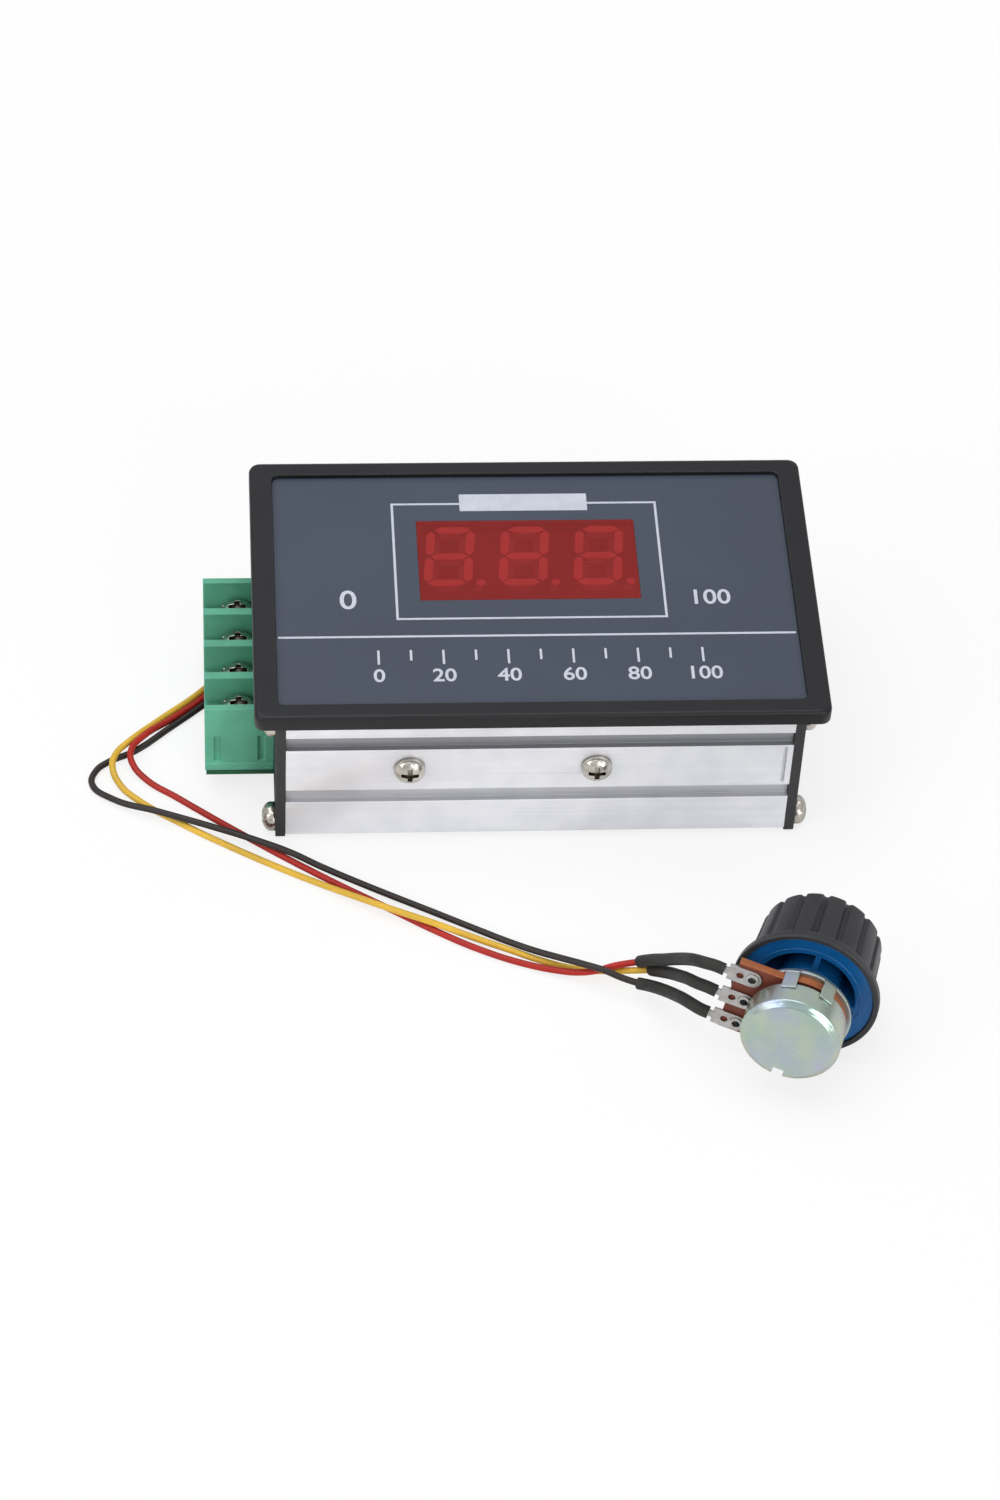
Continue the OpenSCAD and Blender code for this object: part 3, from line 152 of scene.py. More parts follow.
def grouped(tree, group, values):
    """The outputs of a group with its inputs set."""
    used = step(tree, "ShaderNodeGroup", node_tree=group)
    for key, value in values.items():
        used.inputs[key].default_value = value
    return used.outputs


def raise_surface(tree, shader, height, distance, strength):
    """Gives a shader the slight relief of a height."""
    relief = {"Height": height, "Distance": distance, "Strength": strength}
    tree.links.new(step(tree, "ShaderNodeBump", relief).outputs[0], shader.inputs["Normal"])


def new_material(name):
    """A named material, its tree and its shader."""
    material = bpy.data.materials.new(name)
    material.use_nodes = True
    return material, material.node_tree, material.node_tree.nodes["Principled BSDF"]


def bright_metal(
    name, body, dull, roughness, metallic=1.0, along=400, across=400, patches=160, bump=0.000004
):
    """Metal with lines or grain in its surface, dull patches and paler edges, partly rubbed wear
    and partly a painted highlight.
    """
    material, tree, shader = new_material(name)
    line = grouped(tree, lines, {"Along": along, "Across": across})["Line"]
    patch = grouped(tree, skin, {"Grain": 3000, "Patches": patches})["Patches"]
    wear_and_highlight = grouped(tree, edge_wear_and_highlight, {"Width": 0.00012, "Breaks": 1200})["WearAndHighlight"]
    line_share, patch_share, wear_and_highlight_share = 0.35, 0.5, 0.6
    lined = mixed(tree, sum_of(tree, "MULTIPLY", line, line_share), body, dull)
    patched = mixed(tree, sum_of(tree, "MULTIPLY", patch, patch_share), lined, dull)
    gain, lift = 1.25, 0.03
    # Edges are mixed toward this paler colour: partly rubbed wear, partly a painted highlight.
    worn_highlit_colour = [min(1, channel * gain + lift) for channel in body[:3]] + [1]
    worn_and_highlit = mixed(tree, sum_of(tree, "MULTIPLY", wear_and_highlight, wear_and_highlight_share), patched, worn_highlit_colour)
    tree.links.new(worn_and_highlit, shader.inputs["Base Color"])
    uneven = spread(tree, line, roughness - 0.07, roughness + 0.1)
    tree.links.new(uneven, shader.inputs["Roughness"])
    raise_surface(tree, shader, line, bump, 0.7)
    shader.inputs["Metallic"].default_value = metallic
    return material


def finish_piece(piece, material, node, body="unit", from_cad=False):
    """Smooths a piece by angle, gives it its material, and sets what it rides and replaces. A copy
    of a CAD solid keeps the solid's own face directions, and its flat faces are shaded flat."""
    bpy.ops.object.select_all(action="DESELECT")
    piece.select_set(True)
    bpy.context.view_layer.objects.active = piece
    if not from_cad:
        bpy.ops.object.mode_set(mode="EDIT")
        bpy.ops.mesh.select_all(action="SELECT")
        bpy.ops.mesh.normals_make_consistent(inside=False)
        bpy.ops.object.mode_set(mode="OBJECT")
    bpy.ops.object.shade_smooth_by_angle(angle=math.radians(50 if from_cad else 38))
    if from_cad:
        flat_faces = piece.modifiers.new("flat_faces", "WEIGHTED_NORMAL")
        flat_faces.keep_sharp = True
        bpy.ops.object.modifier_apply(modifier="flat_faces")
    piece.data.materials.clear()
    piece.data.materials.append(material)
    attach(piece, body)
    if node:
        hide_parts(node)


def worked_copy(node, name, material, edge, body="unit", sharp=40):
    """A copy of a CAD solid, with points merged, flat faces made whole and sharp edges broken. The
    edge is the width of the broken edge, and sharp the least angle that is broken, in degrees."""
    piece = bpy.data.objects.new(name, nodes[node].data.copy())
    bpy.context.collection.objects.link(piece)
    bpy.ops.object.select_all(action="DESELECT")
    piece.select_set(True)
    bpy.context.view_layer.objects.active = piece
    bpy.ops.object.mode_set(mode="EDIT")
    bpy.ops.mesh.select_all(action="SELECT")
    bpy.ops.mesh.remove_doubles(threshold=0.000001)
    bpy.ops.mesh.dissolve_limited(angle_limit=math.radians(0.5))
    bpy.ops.object.mode_set(mode="OBJECT")
    broken_edge = piece.modifiers.new("broken_edge", "BEVEL")
    broken_edge.width = edge
    broken_edge.segments = 2
    broken_edge.limit_method = "ANGLE"
    broken_edge.angle_limit = math.radians(sharp)
    broken_edge.use_clamp_overlap = False
    bpy.ops.object.modifier_apply(modifier="broken_edge")
    finish_piece(piece, material, node, body, from_cad=True)
    return piece


def dress(node, material):
    """Puts a material on a CAD solid that stays as it is."""
    for slot in nodes[node].material_slots:
        slot.material = material


aluminium = bright_metal(
    "drawn_aluminium", tint(248, 248, 251), tint(220, 221, 226),
    roughness=0.38, metallic=0.5, along=25, across=3500,
)
tree = aluminium.node_tree
shader = tree.nodes["Principled BSDF"]
place = step(tree, "ShaderNodeTexCoord").outputs["Object"]
height = step(tree, "ShaderNodeSeparateXYZ", {0: place}).outputs["Z"]
groove_half_width = 0.0015
groove_shaded = shader.inputs["Base Color"].links[0].from_socket
# Painted shade: two height bands along the grooves are mixed toward a dark grey.
for groove_height, groove_shade_share in ((0.02327, 0.8), (0.01052, 0.45)):
    limits = {0: height, 1: groove_height, 2: groove_half_width}
    in_groove = step(tree, "ShaderNodeMath", limits, operation="COMPARE").outputs[0]
    share = sum_of(tree, "MULTIPLY", in_groove, groove_shade_share)
    groove_shaded = mixed(tree, share, groove_shaded, tint(120, 121, 126))
tree.links.new(groove_shaded, shader.inputs["Base Color"])
worked_copy("case_extrusion", "aluminium_channel", aluminium, edge=0.0001)


# End plates
# Two punched steel plates in black powder coat, screwed to the ends of the channel.
def moulded(
    name, body, worn_and_highlit, roughness, grain=3000, patches=120, depth=0.00001, mottle=0.12, edge=0.0002
):
    """Moulded plastic, rubber or paint: a grain, faint patches and paler edges, partly rubbed wear
    and partly a painted highlight.
    """
    material, tree, shader = new_material(name)
    shader.inputs["Specular IOR Level"].default_value = 0.3
    outer = grouped(tree, skin, {"Grain": grain, "Patches": patches})
    wear_and_highlight = grouped(tree, edge_wear_and_highlight, {"Width": edge, "Breaks": 900})["WearAndHighlight"]
    darker = [channel * (1 - mottle) for channel in body[:3]] + [1]
    lighter = [min(channel * (1 + mottle), 1) for channel in body[:3]] + [1]
    patched = mixed(tree, outer["Patches"], darker, lighter)
    # Edges are mixed toward the paler colour: partly rubbed wear, partly a painted highlight.
    wear_and_highlight_share = 0.6
    edges_worn_and_highlit = mixed(tree, sum_of(tree, "MULTIPLY", wear_and_highlight, wear_and_highlight_share), patched, worn_and_highlit)
    tree.links.new(edges_worn_and_highlit, shader.inputs["Base Color"])
    uneven = spread(tree, outer["Patches"], roughness - 0.05, roughness + 0.06)
    tree.links.new(uneven, shader.inputs["Roughness"])
    raise_surface(tree, shader, outer["Grain"], depth, 0.8)
    return material


powder_coat = moulded(
    "black_powder_coat", tint(52, 52, 53), tint(104, 104, 106),
    roughness=0.5, grain=4500, patches=90, depth=0.00002,
)
worked_copy("left_end_plate", "left_plate", powder_coat, edge=0.00012)
worked_copy("right_end_plate", "right_plate", powder_coat, edge=0.00012)

# Pan head screws
# Four hold each end plate, and two with nuts clamp the power parts to the front wall. They are
# steel with nickel plating, and their cross recesses get painted shade from an occlusion mask.
nickel = bright_metal(
    "nickel_plate", tint(222, 216, 206), tint(150, 143, 134),
    roughness=0.24, patches=500,
)
tree = nickel.node_tree
shader = tree.nodes["Principled BSDF"]
reach = {"Distance": 0.0012}
# Painted shade: an occlusion mask darkens the plating toward dark brown in recesses and corners.
shade = step(tree, "ShaderNodeAmbientOcclusion", reach, samples=8).outputs["AO"]
plating = shader.inputs["Base Color"].links[0].from_socket
recess_shaded = mixed(tree, spread(tree, shade, 0, 1, 0.3, 0.85), tint(52, 42, 36), plating)
tree.links.new(recess_shaded, shader.inputs["Base Color"])
worked_copy("end_plate_screws", "plate_screws", nickel, edge=0.00006)
worked_copy("clamp_screws", "front_wall_screws", nickel, edge=0.00006)
worked_copy("clamp_nuts", "clamping_nuts", nickel, edge=0.00006)

# Power parts
# The transistor and the diode have moulded epoxy bodies. Grey silicone pads and plastic bushes keep
# their tabs off the case.
epoxy = moulded(
    "black_epoxy", tint(42, 42, 44), tint(80, 80, 82),
    roughness=0.6, grain=2500, patches=300, depth=0.00001, mottle=0.15,
)
worked_copy("power_transistor", "transistor", epoxy, edge=0.00006)
worked_copy("flywheel_diode", "diode", epoxy, edge=0.00006)
grey_silicone = moulded(
    "grey_silicone", tint(160, 160, 158), tint(190, 190, 188),
    roughness=0.7, grain=900, patches=200,
)
dress("insulating_pads", grey_silicone)
white_nylon = moulded(
    "white_nylon", tint(226, 224, 216), tint(240, 238, 232),
    roughness=0.45, grain=1500, patches=200,
)
dress("insulating_bushes", white_nylon)

# Boards
# Glass-fibre boards with green lacquer. The main board carries two can capacitors, the control
# chip, the pin header to the display board, and the white socket for the speed control's plug.
lacquer = moulded(
    "board_lacquer", tint(24, 92, 58), tint(60, 130, 90),
    roughness=0.35, grain=900, patches=70, depth=0.00001, mottle=0.25,
)
dress("main_board", lacquer)
dress("display_board", lacquer)
blue_film = moulded(
    "capacitor_sleeve", tint(34, 36, 52), tint(90, 92, 110),
    roughness=0.3, grain=1200, patches=150,
)
worked_copy("capacitors", "can_capacitors", blue_film, edge=0.00008)
worked_copy("control_chip", "moulded_chip", epoxy, edge=0.00003)
dress("board_link_header", epoxy)
dress("pot_socket", white_nylon)
dress("pot_plug", white_nylon)
dress("display_board_screws", nickel)

# Bezel
# The black ABS front frame has a flat lip, a skirt that goes into the channel, snap hooks and
# posts. The mould leaves a fine satin grain. The lip's edges are paler, partly rubbed wear and
# partly a painted highlight.
abs_black = moulded(
    "black_abs", tint(24, 24, 26), tint(64, 64, 68),
    roughness=0.38, grain=4200, patches=60, depth=0.000008, mottle=0.1, edge=0.0004,
)
worked_copy("bezel", "front_bezel", abs_black, edge=0.00012, sharp=75)

# Label
# A slate polycarbonate film in the bezel's sunk face. It is satin, with a fine grain and faint
# patches.
film = moulded(
    "slate_film", tint(66, 73, 87), tint(98, 106, 120),
    roughness=0.34, grain=2600, patches=35, depth=0.000003, mottle=0.05, edge=0.0001,
)
dress("front_label", film)


# Print
# White ink lies on the film: a frame round the window with a bare plate in its upper side, 0 and
# 100 beside it, a rule across the label, and a plain scale from 0 to 100 below the rule.
def ink_panel(name, corner, far_corner, line=0.0, coats=1):
    """A rectangle of ink from corner to corner in millimetres, or only its outline."""
    bpy.ops.object.select_all(action="DESELECT")
    middle = [(a + b) / 2000 for a, b in zip(corner, far_corner)]
    bpy.ops.mesh.primitive_plane_add(size=0.001, location=(middle[0], middle[1], ink_low))
    panel = bpy.context.object
    panel.name = name
    bpy.ops.object.mode_set(mode="EDIT")
    bpy.ops.mesh.select_all(action="SELECT")
    wide, deep = [b - a for a, b in zip(corner, far_corner)]
    bpy.ops.transform.resize(value=(wide, deep, 1), center_override=(middle[0], middle[1], ink_low))
    if line:
        bpy.ops.mesh.inset(thickness=line / 1000)
        bpy.ops.mesh.delete(type="FACE")
        bpy.ops.mesh.select_all(action="SELECT")
    else:
        bpy.ops.mesh.bevel(affect="VERTICES", offset=0.0001, segments=3)
        bpy.ops.mesh.select_all(action="SELECT")
    thickness = (ink_high - ink_low) * coats
    bpy.ops.mesh.extrude_region_move(TRANSFORM_OT_translate={"value": (0, 0, thickness)})
    bpy.ops.object.mode_set(mode="OBJECT")
    bpy.ops.object.transform_apply(location=True, rotation=True, scale=True)
    return panel


def ink_figures(name, digits, x, y, tall):
    """Plain digits in ink, centred on a place, with a height, all in millimetres."""
    share_of_size, bolder = 0.71, 0.00006
    bpy.ops.object.select_all(action="DESELECT")
    bpy.ops.object.text_add(location=(x / 1000, y / 1000, (ink_low + ink_high) / 2))
    figures = bpy.context.object
    figures.name = name
    figures.data.body = digits
    figures.data.align_x = "CENTER"
    figures.data.align_y = "CENTER"
    figures.data.size = tall / 1000 / share_of_size
    figures.data.offset = bolder
    figures.data.extrude = (ink_high - ink_low) / 2
    figures.data.resolution_u = 6
    bpy.ops.object.convert(target="MESH")
    bpy.ops.object.mode_set(mode="EDIT")
    bpy.ops.mesh.select_all(action="SELECT")
    bpy.ops.mesh.remove_doubles(threshold=0.000001)
    bpy.ops.mesh.dissolve_degenerate(threshold=0.000002)
    bpy.ops.object.mode_set(mode="OBJECT")
    bpy.ops.object.transform_apply(location=True, rotation=True, scale=True)
    return figures


label_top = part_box("front_label")[1][2]
ink_low = label_top - 0.00001
ink_high = label_top + 0.00003
ink = moulded(
    "white_ink", tint(198, 202, 213), tint(214, 218, 228),
    roughness=0.4, grain=5000, patches=400, depth=0.000004, mottle=0.06, edge=0.00005,
)
ink_pieces = [
    ink_panel("window_frame", (-22.88, 21.5), (23.12, 49.6), 0.42),
    ink_panel("bare_plate", (-10.98, 47.6), (11.12, 51.7), coats=1.4),
    ink_panel("rule", (-42.9, 17.38), (44.5, 17.82)),
    ink_figures("low_mark", "0", -30.9, 26.1, 4.4),
    ink_figures("high_mark", "100", 30.6, 26.1, 3.4),
]
first_tick_x, tick_step, tick_half_width = -26.2, 5.45, 0.2
tick_far_y, short_tick_y, long_tick_y, scale_figure_y = 14.4, 12.0, 11.1, 8.4
for tick in range(11):
    x = first_tick_x + tick * tick_step
    near_y = short_tick_y if tick % 2 else long_tick_y
    corner, far_corner = (x - tick_half_width, near_y), (x + tick_half_width, tick_far_y)
    ink_pieces.append(ink_panel(f"tick_{tick}", corner, far_corner))
    if tick % 2 == 0:
        figure_name = f"scale_figure_{tick}"
        ink_pieces.append(ink_figures(figure_name, str(tick * 10), x, scale_figure_y, 2.9))
for piece in ink_pieces:
    finish_piece(piece, ink, None)


# Display
# Three red seven-bar figures lie under a red acrylic window. They are unlit. A faint painted glow
# makes the bars show a little paler than the red face behind the window.
def pick_points(piece, wanted):
    """Selects the points of a piece that pass a test, and goes into edit mode."""
    bpy.ops.object.mode_set(mode="EDIT")
    bpy.ops.mesh.select_mode(type="VERT")
    bpy.ops.mesh.select_all(action="DESELECT")
    bpy.ops.object.mode_set(mode="OBJECT")
    for point in piece.data.vertices:
        point.select = wanted(point.co)
    bpy.ops.object.mode_set(mode="EDIT")


def move_points(piece, wanted, shift):
    """Moves the points of a piece that pass a test."""
    pick_points(piece, wanted)
    bpy.ops.transform.translate(value=shift)
    bpy.ops.object.mode_set(mode="OBJECT")


def stretch_points(piece, wanted, size, centre):
    """Stretches the points of a piece that pass a test away from a centre."""
    pick_points(piece, wanted)
    bpy.ops.transform.resize(value=size, center_override=centre)
    bpy.ops.object.mode_set(mode="OBJECT")


glass, tree, shader = new_material("red_acrylic")
patch = grouped(tree, skin, {"Grain": 2000, "Patches": 90})["Patches"]
reds = mixed(tree, patch, tint(158, 42, 40), tint(166, 47, 44))
tree.links.new(reds, shader.inputs["Base Color"])
tree.links.new(spread(tree, patch, 0.12, 0.2), shader.inputs["Roughness"])
shader.inputs["Alpha"].default_value = 0.55
shader.inputs["Specular IOR Level"].default_value = 0.25
dress("display_window", glass)
red_face = moulded(
    "red_face", tint(158, 38, 36), tint(180, 62, 58),
    roughness=0.5, grain=1500, patches=120, depth=0.000005, mottle=0.15,
)
dress("led_display", red_face)
bars, tree, shader = new_material("red_bars")
patch = grouped(tree, skin, {"Grain": 2500, "Patches": 500})["Patches"]
reds = mixed(tree, patch, tint(186, 30, 32), tint(198, 44, 42))
tree.links.new(reds, shader.inputs["Base Color"])
# Painted glow: the unlit bars are given a faint emission.
painted_glow_reds = mixed(tree, patch, tint(200, 40, 34), tint(220, 60, 50))
tree.links.new(painted_glow_reds, shader.inputs["Emission Color"])
tree.links.new(spread(tree, patch, 0.35, 0.5), shader.inputs["Roughness"])
shader.inputs["Emission Strength"].default_value = 0.08
figures = worked_copy("display_segments", "figure_bars", bars, edge=0.00002)
low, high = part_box("display_window")
middle = [(a + b) / 2 for a, b in zip(low, high)]
slant = math.tan(math.radians(5))
figure_step, figure_left, outer_edge = 0.0128, 0.00075, 0.0034
level_bar_end, level_bar_tip, tip_reach, top_bar_y = 0.00155, 0.0023, 0.0001, 0.00635
point_from, point_to = 0.0042, 0.0065


def across(point, figure_x):
    """How far to the right of a figure's leaning middle line a point lies."""
    return point.x - figure_x - (point.y - middle[1]) * slant


def on_level_bar(point, figure_x):
    """Whether a point is on one of a figure's three level bars."""
    out, up = abs(across(point, figure_x)), abs(point.y - middle[1])
    at_tip = up < tip_reach or abs(up - top_bar_y) < tip_reach
    return out < level_bar_end or out < level_bar_tip and at_tip


def on_upright(point, figure_x, side):
    """Whether a point is on one of a figure's two uprights on the left or on the right."""
    beside = level_bar_end < side * across(point, figure_x) < outer_edge
    return beside and not on_level_bar(point, figure_x)


def on_decimal_point(point, figure_x):
    """Whether a point of the mesh is on the decimal point beside a figure."""
    return point_from < across(point, figure_x) < point_to


# The real figures are wider than those of the solid, so the uprights move outwards, and then the
# level bars are stretched to meet them.
upright_shift, level_bar_growth, decimal_shift = 0.00095, 1.45, 0.0004
for figure in (-1, 0, 1):
    figure_x = middle[0] + figure * figure_step - figure_left
    centre = (figure_x, middle[1], low[2])
    for side in (-1, 1):
        shift = (side * upright_shift, 0, 0)
        move_points(figures, lambda point: on_upright(point, figure_x, side), shift)
    growth = (level_bar_growth, 1, 1)
    stretch_points(figures, lambda point: on_level_bar(point, figure_x), growth, centre)
    move_points(figures, lambda point: on_decimal_point(point, figure_x), (decimal_shift, 0, 0))
move_points(figures, lambda point: True, (0.0002, 0.0014, 0.00005))

# Terminal block
# Four clamps in one green PBT moulding, in an opening of the left end plate. Each pocket holds a
# screw, a square washer and a tinned contact.
green = moulded(
    "green_pbt", tint(98, 178, 148), tint(152, 210, 190),
    roughness=0.42, grain=2600, patches=200, depth=0.000012, mottle=0.12, edge=0.00022,
)
worked_copy("terminal_block", "green_block", green, edge=0.00018)
tinned = bright_metal(
    "tin_plate", tint(192, 190, 188), tint(136, 132, 128),
    roughness=0.34, patches=600,
)
dress("terminal_contacts", tinned)
for number in range(1, 5):
    washer = f"clamp_washer_{number}"
    worked_copy(
        washer, f"square_washer_{number}", nickel,
        edge=0.00008, body=f"washer_{number}",
    )
    screw = f"terminal_screw_{number}"
    worked_copy(
        screw, f"slotted_screw_{number}", nickel,
        edge=0.00006, body=f"screw_{number}",
    )

# Grommet
# A soft rubber ring that keeps the three wires off the edge of the plate.
rubber = moulded(
    "soft_rubber", tint(38, 38, 38), tint(70, 70, 70),
    roughness=0.7, grain=1200, patches=300,
)
worked_copy("cable_grommet", "rubber_grommet", rubber, edge=0.00012)


# Wires
# Three wires with a thin PVC skin run from the plug inside the case, out through the grommet, under
# the terminal block, over the floor in one loose bend, and up to the sleeves on the speed control.
def cord_points(points):
    """Points of a route in the case's millimetres, moved into the frame in metres."""
    return [((x + 0.82) / 1000, (y + 28.8) / 1000, z / 1000) for x, y, z in points]


red_route = cord_points([
    (-41.85, 19.3, 7.9), (-44.6, 19.3, 7.9), (-46.6, 19.2, 6.9), (-48, 18.6, 4.8),
    (-48.8, 17.3, 2.4), (-49.8, 15, 0.9), (-51.6, 11.4, 0.6), (-53.9, 7.9, 0.6), (-56.7, 4.7, 0.6),
    (-62.3, -0.5, 0.9), (-66.7, -4.8, 1.7), (-68.9, -8.4, 1.9), (-68.6, -11.5, 1.7),
    (-66.2, -14.5, 0.9), (-61.3, -18.2, 0.6), (-50.5, -26.7, 0.6), (-37, -36.6, 0.6),
    (-24.7, -44.8, 0.6), (-17.8, -49.4, 0.6), (-10.8, -53.5, 0.6), (-3.3, -56.9, 0.7),
    (2.3, -58.9, 1.2), (5.1, -59.7, 1.7), (8, -60.1, 2.5), (11.2, -59.8, 3.4), (15.3, -60, 4.6),
    (16.9, -61.9, 7.2), (18.5, -64.2, 10), (20.3, -67.1, 13.6), (21.6, -70.2, 17.2),
    (22.6, -72.5, 19.6), (23.9, -74, 20.7), (25.4, -74.6, 20.7), (26.9, -75.2, 20.4),
])
red_sleeve_from = 25
yellow_route = cord_points([
    (-41.85, 20.1, 6.8), (-44.6, 20.1, 6.8), (-46.9, 20.3, 6), (-48.9, 19.7, 4), (-50, 18.2, 1.8),
    (-51.1, 16, 0.7), (-52.8, 12.4, 0.6), (-54.6, 9.2, 0.6), (-57, 6.3, 0.6), (-64, -0.2, 0.7),
    (-69.5, -6.3, 1.6), (-71.6, -9.4, 1.9), (-72.1, -12.1, 1.7), (-70.8, -15.4, 0.8),
    (-68.1, -18.5, 0.6), (-60.2, -24.5, 0.6), (-53.2, -29.1, 0.6), (-43.9, -34.7, 0.6),
    (-37.1, -38.6, 0.8), (-29.5, -43.2, 1.7), (-24.2, -45.9, 1.9), (-18.2, -48.6, 1.8),
    (-11.5, -51.3, 1), (-5.3, -53.9, 0.6), (-0.4, -56.2, 0.6), (4.2, -57.9, 0.7), (8, -58.9, 1.1),
    (11.9, -59.9, 2.2), (17.2, -61.5, 4.2), (18.4, -63.5, 6.2), (19.7, -66.3, 9),
    (20.8, -69.6, 12.2), (21.7, -72.4, 14.8), (22.9, -74.3, 16), (24.4, -75, 15.9),
    (25.9, -75.6, 15.5),
])
yellow_sleeve_from = 28
black_route = cord_points([
    (-41.85, 18.5, 6.8), (-44.8, 18.5, 6.8), (-46.4, 18.2, 5.9), (-47.2, 17.5, 3.9),
    (-47.6, 16.5, 2), (-48.4, 14, 0.8), (-50.4, 10.2, 0.6), (-53.4, 6.2, 0.6), (-56.7, 3, 0.6),
    (-62.3, -2.1, 0.6), (-68.4, -7.5, 0.6), (-72.8, -9.9, 0.6), (-74.9, -11.9, 0.6),
    (-75.6, -15, 0.6), (-72.2, -18.7, 0.9), (-64, -22.8, 1.9), (-54, -26.8, 1.9),
    (-47.8, -29.5, 1.9), (-42, -32.3, 1.8), (-37, -34.9, 1.1), (-30.3, -38.6, 0.8),
    (-17.1, -45.9, 0.8), (-10.6, -49.6, 0.9), (-5.7, -52.6, 1.3), (-1.3, -55.3, 2),
    (2.3, -57.4, 2.8), (6, -59.6, 3.7), (9.2, -61.3, 4.1), (12.2, -62.6, 3.6), (14.9, -63.6, 3.3),
    (16.2, -64.5, 3.9), (17.4, -65.9, 5), (19, -68.2, 6.7), (20.3, -70.9, 8.8),
    (21.2, -73.2, 10.6), (22.3, -74.8, 11.3), (23.6, -75.6, 11), (24.9, -76.1, 10.7),
])
black_sleeve_from = 29


def round_curve(name, points, diameter, material):
    """A round curve through the points, with automatic handles."""
    curve = bpy.data.curves.new(name, "CURVE")
    curve.dimensions = "3D"
    spline = curve.splines.new("BEZIER")
    spline.bezier_points.add(len(points) - 1)
    for bezier, point in zip(spline.bezier_points, points):
        bezier.co = point
        bezier.handle_left_type = "AUTO"
        bezier.handle_right_type = "AUTO"
    curve.resolution_u = 8
    curve.bevel_depth = diameter / 2
    curve.bevel_resolution = 4
    curve.use_fill_caps = True
    curve.materials.append(material)
    piece = bpy.data.objects.new(name, curve)
    bpy.context.collection.objects.link(piece)
    return piece


wire_skins = {
    "red": moulded(
        "red_wire_skin", tint(172, 38, 30), tint(204, 84, 70),
        roughness=0.42, grain=1800, patches=160, depth=0.000006, mottle=0.14,
    ),
    "yellow": moulded(
        "yellow_wire_skin", tint(222, 178, 62), tint(240, 216, 136),
        roughness=0.42, grain=1800, patches=160, depth=0.000006,
    ),
    "black": moulded(
        "black_wire_skin", tint(44, 38, 36), tint(95, 88, 84),
        roughness=0.38, grain=1800, patches=160, depth=0.000006, mottle=0.2,
    ),
}

wire_diameter = 0.00115
leads = []
for colour, route, sleeve_from in (
    ("red", red_route, red_sleeve_from),
    ("yellow", yellow_route, yellow_sleeve_from),
    ("black", black_route, black_sleeve_from),
):
    bare_part = route[: sleeve_from + 1]
    wire = round_curve("lead_" + colour, bare_part, wire_diameter, wire_skins[colour])
    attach(wire, "unit")
    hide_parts("wire_" + colour)
    leads.append((colour, wire, route, sleeve_from))

# Sleeves
# Black heat-shrink tube over each solder joint, cut square at both ends. It has shrunk unevenly, so
# its matt skin has low lumps and creases.
shrunk_skin = moulded(
    "shrunk_tube", tint(46, 45, 43), tint(86, 84, 80),
    roughness=0.62, grain=1300, patches=420, depth=0.00006, mottle=0.22, edge=0.00015,
)
sleeve_diameter = 0.0021
# A smooth curve is a little longer than the straight steps between its points.
for colour, wire, route, sleeve_from in leads:
    joint = route[sleeve_from:]
    sleeve = round_curve("shrunk_sleeve_" + colour, joint, sleeve_diameter, shrunk_skin)
    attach(sleeve, "unit")
    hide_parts("sleeve_" + colour)

# Speed control can
# A drawn steel can in clear zinc plating, which shows pale green, yellow and blue. Its end disc is
# set in, and the rim round it has a painted highlight, partly rubbed wear.
zinc, tree, shader = new_material("clear_zinc")
outer = grouped(tree, skin, {"Grain": 2600, "Patches": 110})
clouds = grouped(tree, skin, {"Grain": 1200, "Patches": 260})["Patches"]
pale = mixed(tree, outer["Patches"], tint(140, 174, 170), tint(164, 170, 206))
straw = mixed(tree, sum_of(tree, "MULTIPLY", clouds, 0.6), pale, tint(186, 196, 166))
facing = step(tree, "ShaderNodeLayerWeight", {"Blend": 0.35}).outputs["Facing"]
film_tint = mixed(tree, sum_of(tree, "MULTIPLY", facing, 0.7), straw, tint(206, 200, 150))
wear_and_highlight = grouped(tree, edge_wear_and_highlight, {"Width": 0.00015, "Breaks": 1500})["WearAndHighlight"]
# The pale rim colour is partly rubbed wear and partly a painted highlight.
tree.links.new(mixed(tree, wear_and_highlight, film_tint, tint(236, 238, 220)), shader.inputs["Base Color"])
tree.links.new(spread(tree, outer["Patches"], 0.2, 0.34), shader.inputs["Roughness"])
raise_surface(tree, shader, outer["Grain"], 0.000004, 0.6)
shader.inputs["Metallic"].default_value = 0.85
worked_copy("pot_can", "zinc_can", zinc, edge=0.00016)
worked_copy("pot_front_plate", "zinc_front_plate", zinc, edge=0.0001)

# Wafer, lugs and rivets
# The wafer is punched from resin-bonded paper, reddish on its faces and pale orange on its cut
# edge. Three tinned lugs are riveted to it, and a carbon track is printed on its inner face.
# The speed control lies tilted on the floor, and this is the place of its axis there.
pot_place = (
    Matrix.Translation((0.03762, -0.0568, 0.014309))
    @ Matrix.Rotation(math.radians(-18.5), 4, "Z")
    @ Matrix.Rotation(math.radians(-98.7), 4, "X")
    @ Matrix.Rotation(math.radians(9), 4, "Z")
)
resin_paper = moulded(
    "resin_paper", tint(158, 92, 54), tint(196, 140, 98),
    roughness=0.5, grain=1600, patches=700, depth=0.00002, mottle=0.22,
)
tree = resin_paper.node_tree
shader = tree.nodes["Principled BSDF"]
normal = step(tree, "ShaderNodeNewGeometry").outputs["Normal"]
axis = (pot_place.to_3x3() @ Vector((0, 0, 1)))[:]
turned_to = dot_of(tree, normal, axis)
on_face = spread(tree, sum_of(tree, "MULTIPLY", turned_to, turned_to), 0, 1, 0.3, 0.8)
faced = mixed(tree, on_face, shader.inputs["Base Color"].links[0].from_socket, tint(122, 62, 48))
tree.links.new(faced, shader.inputs["Base Color"])
worked_copy("pot_wafer", "paper_wafer", resin_paper, edge=0.0001)
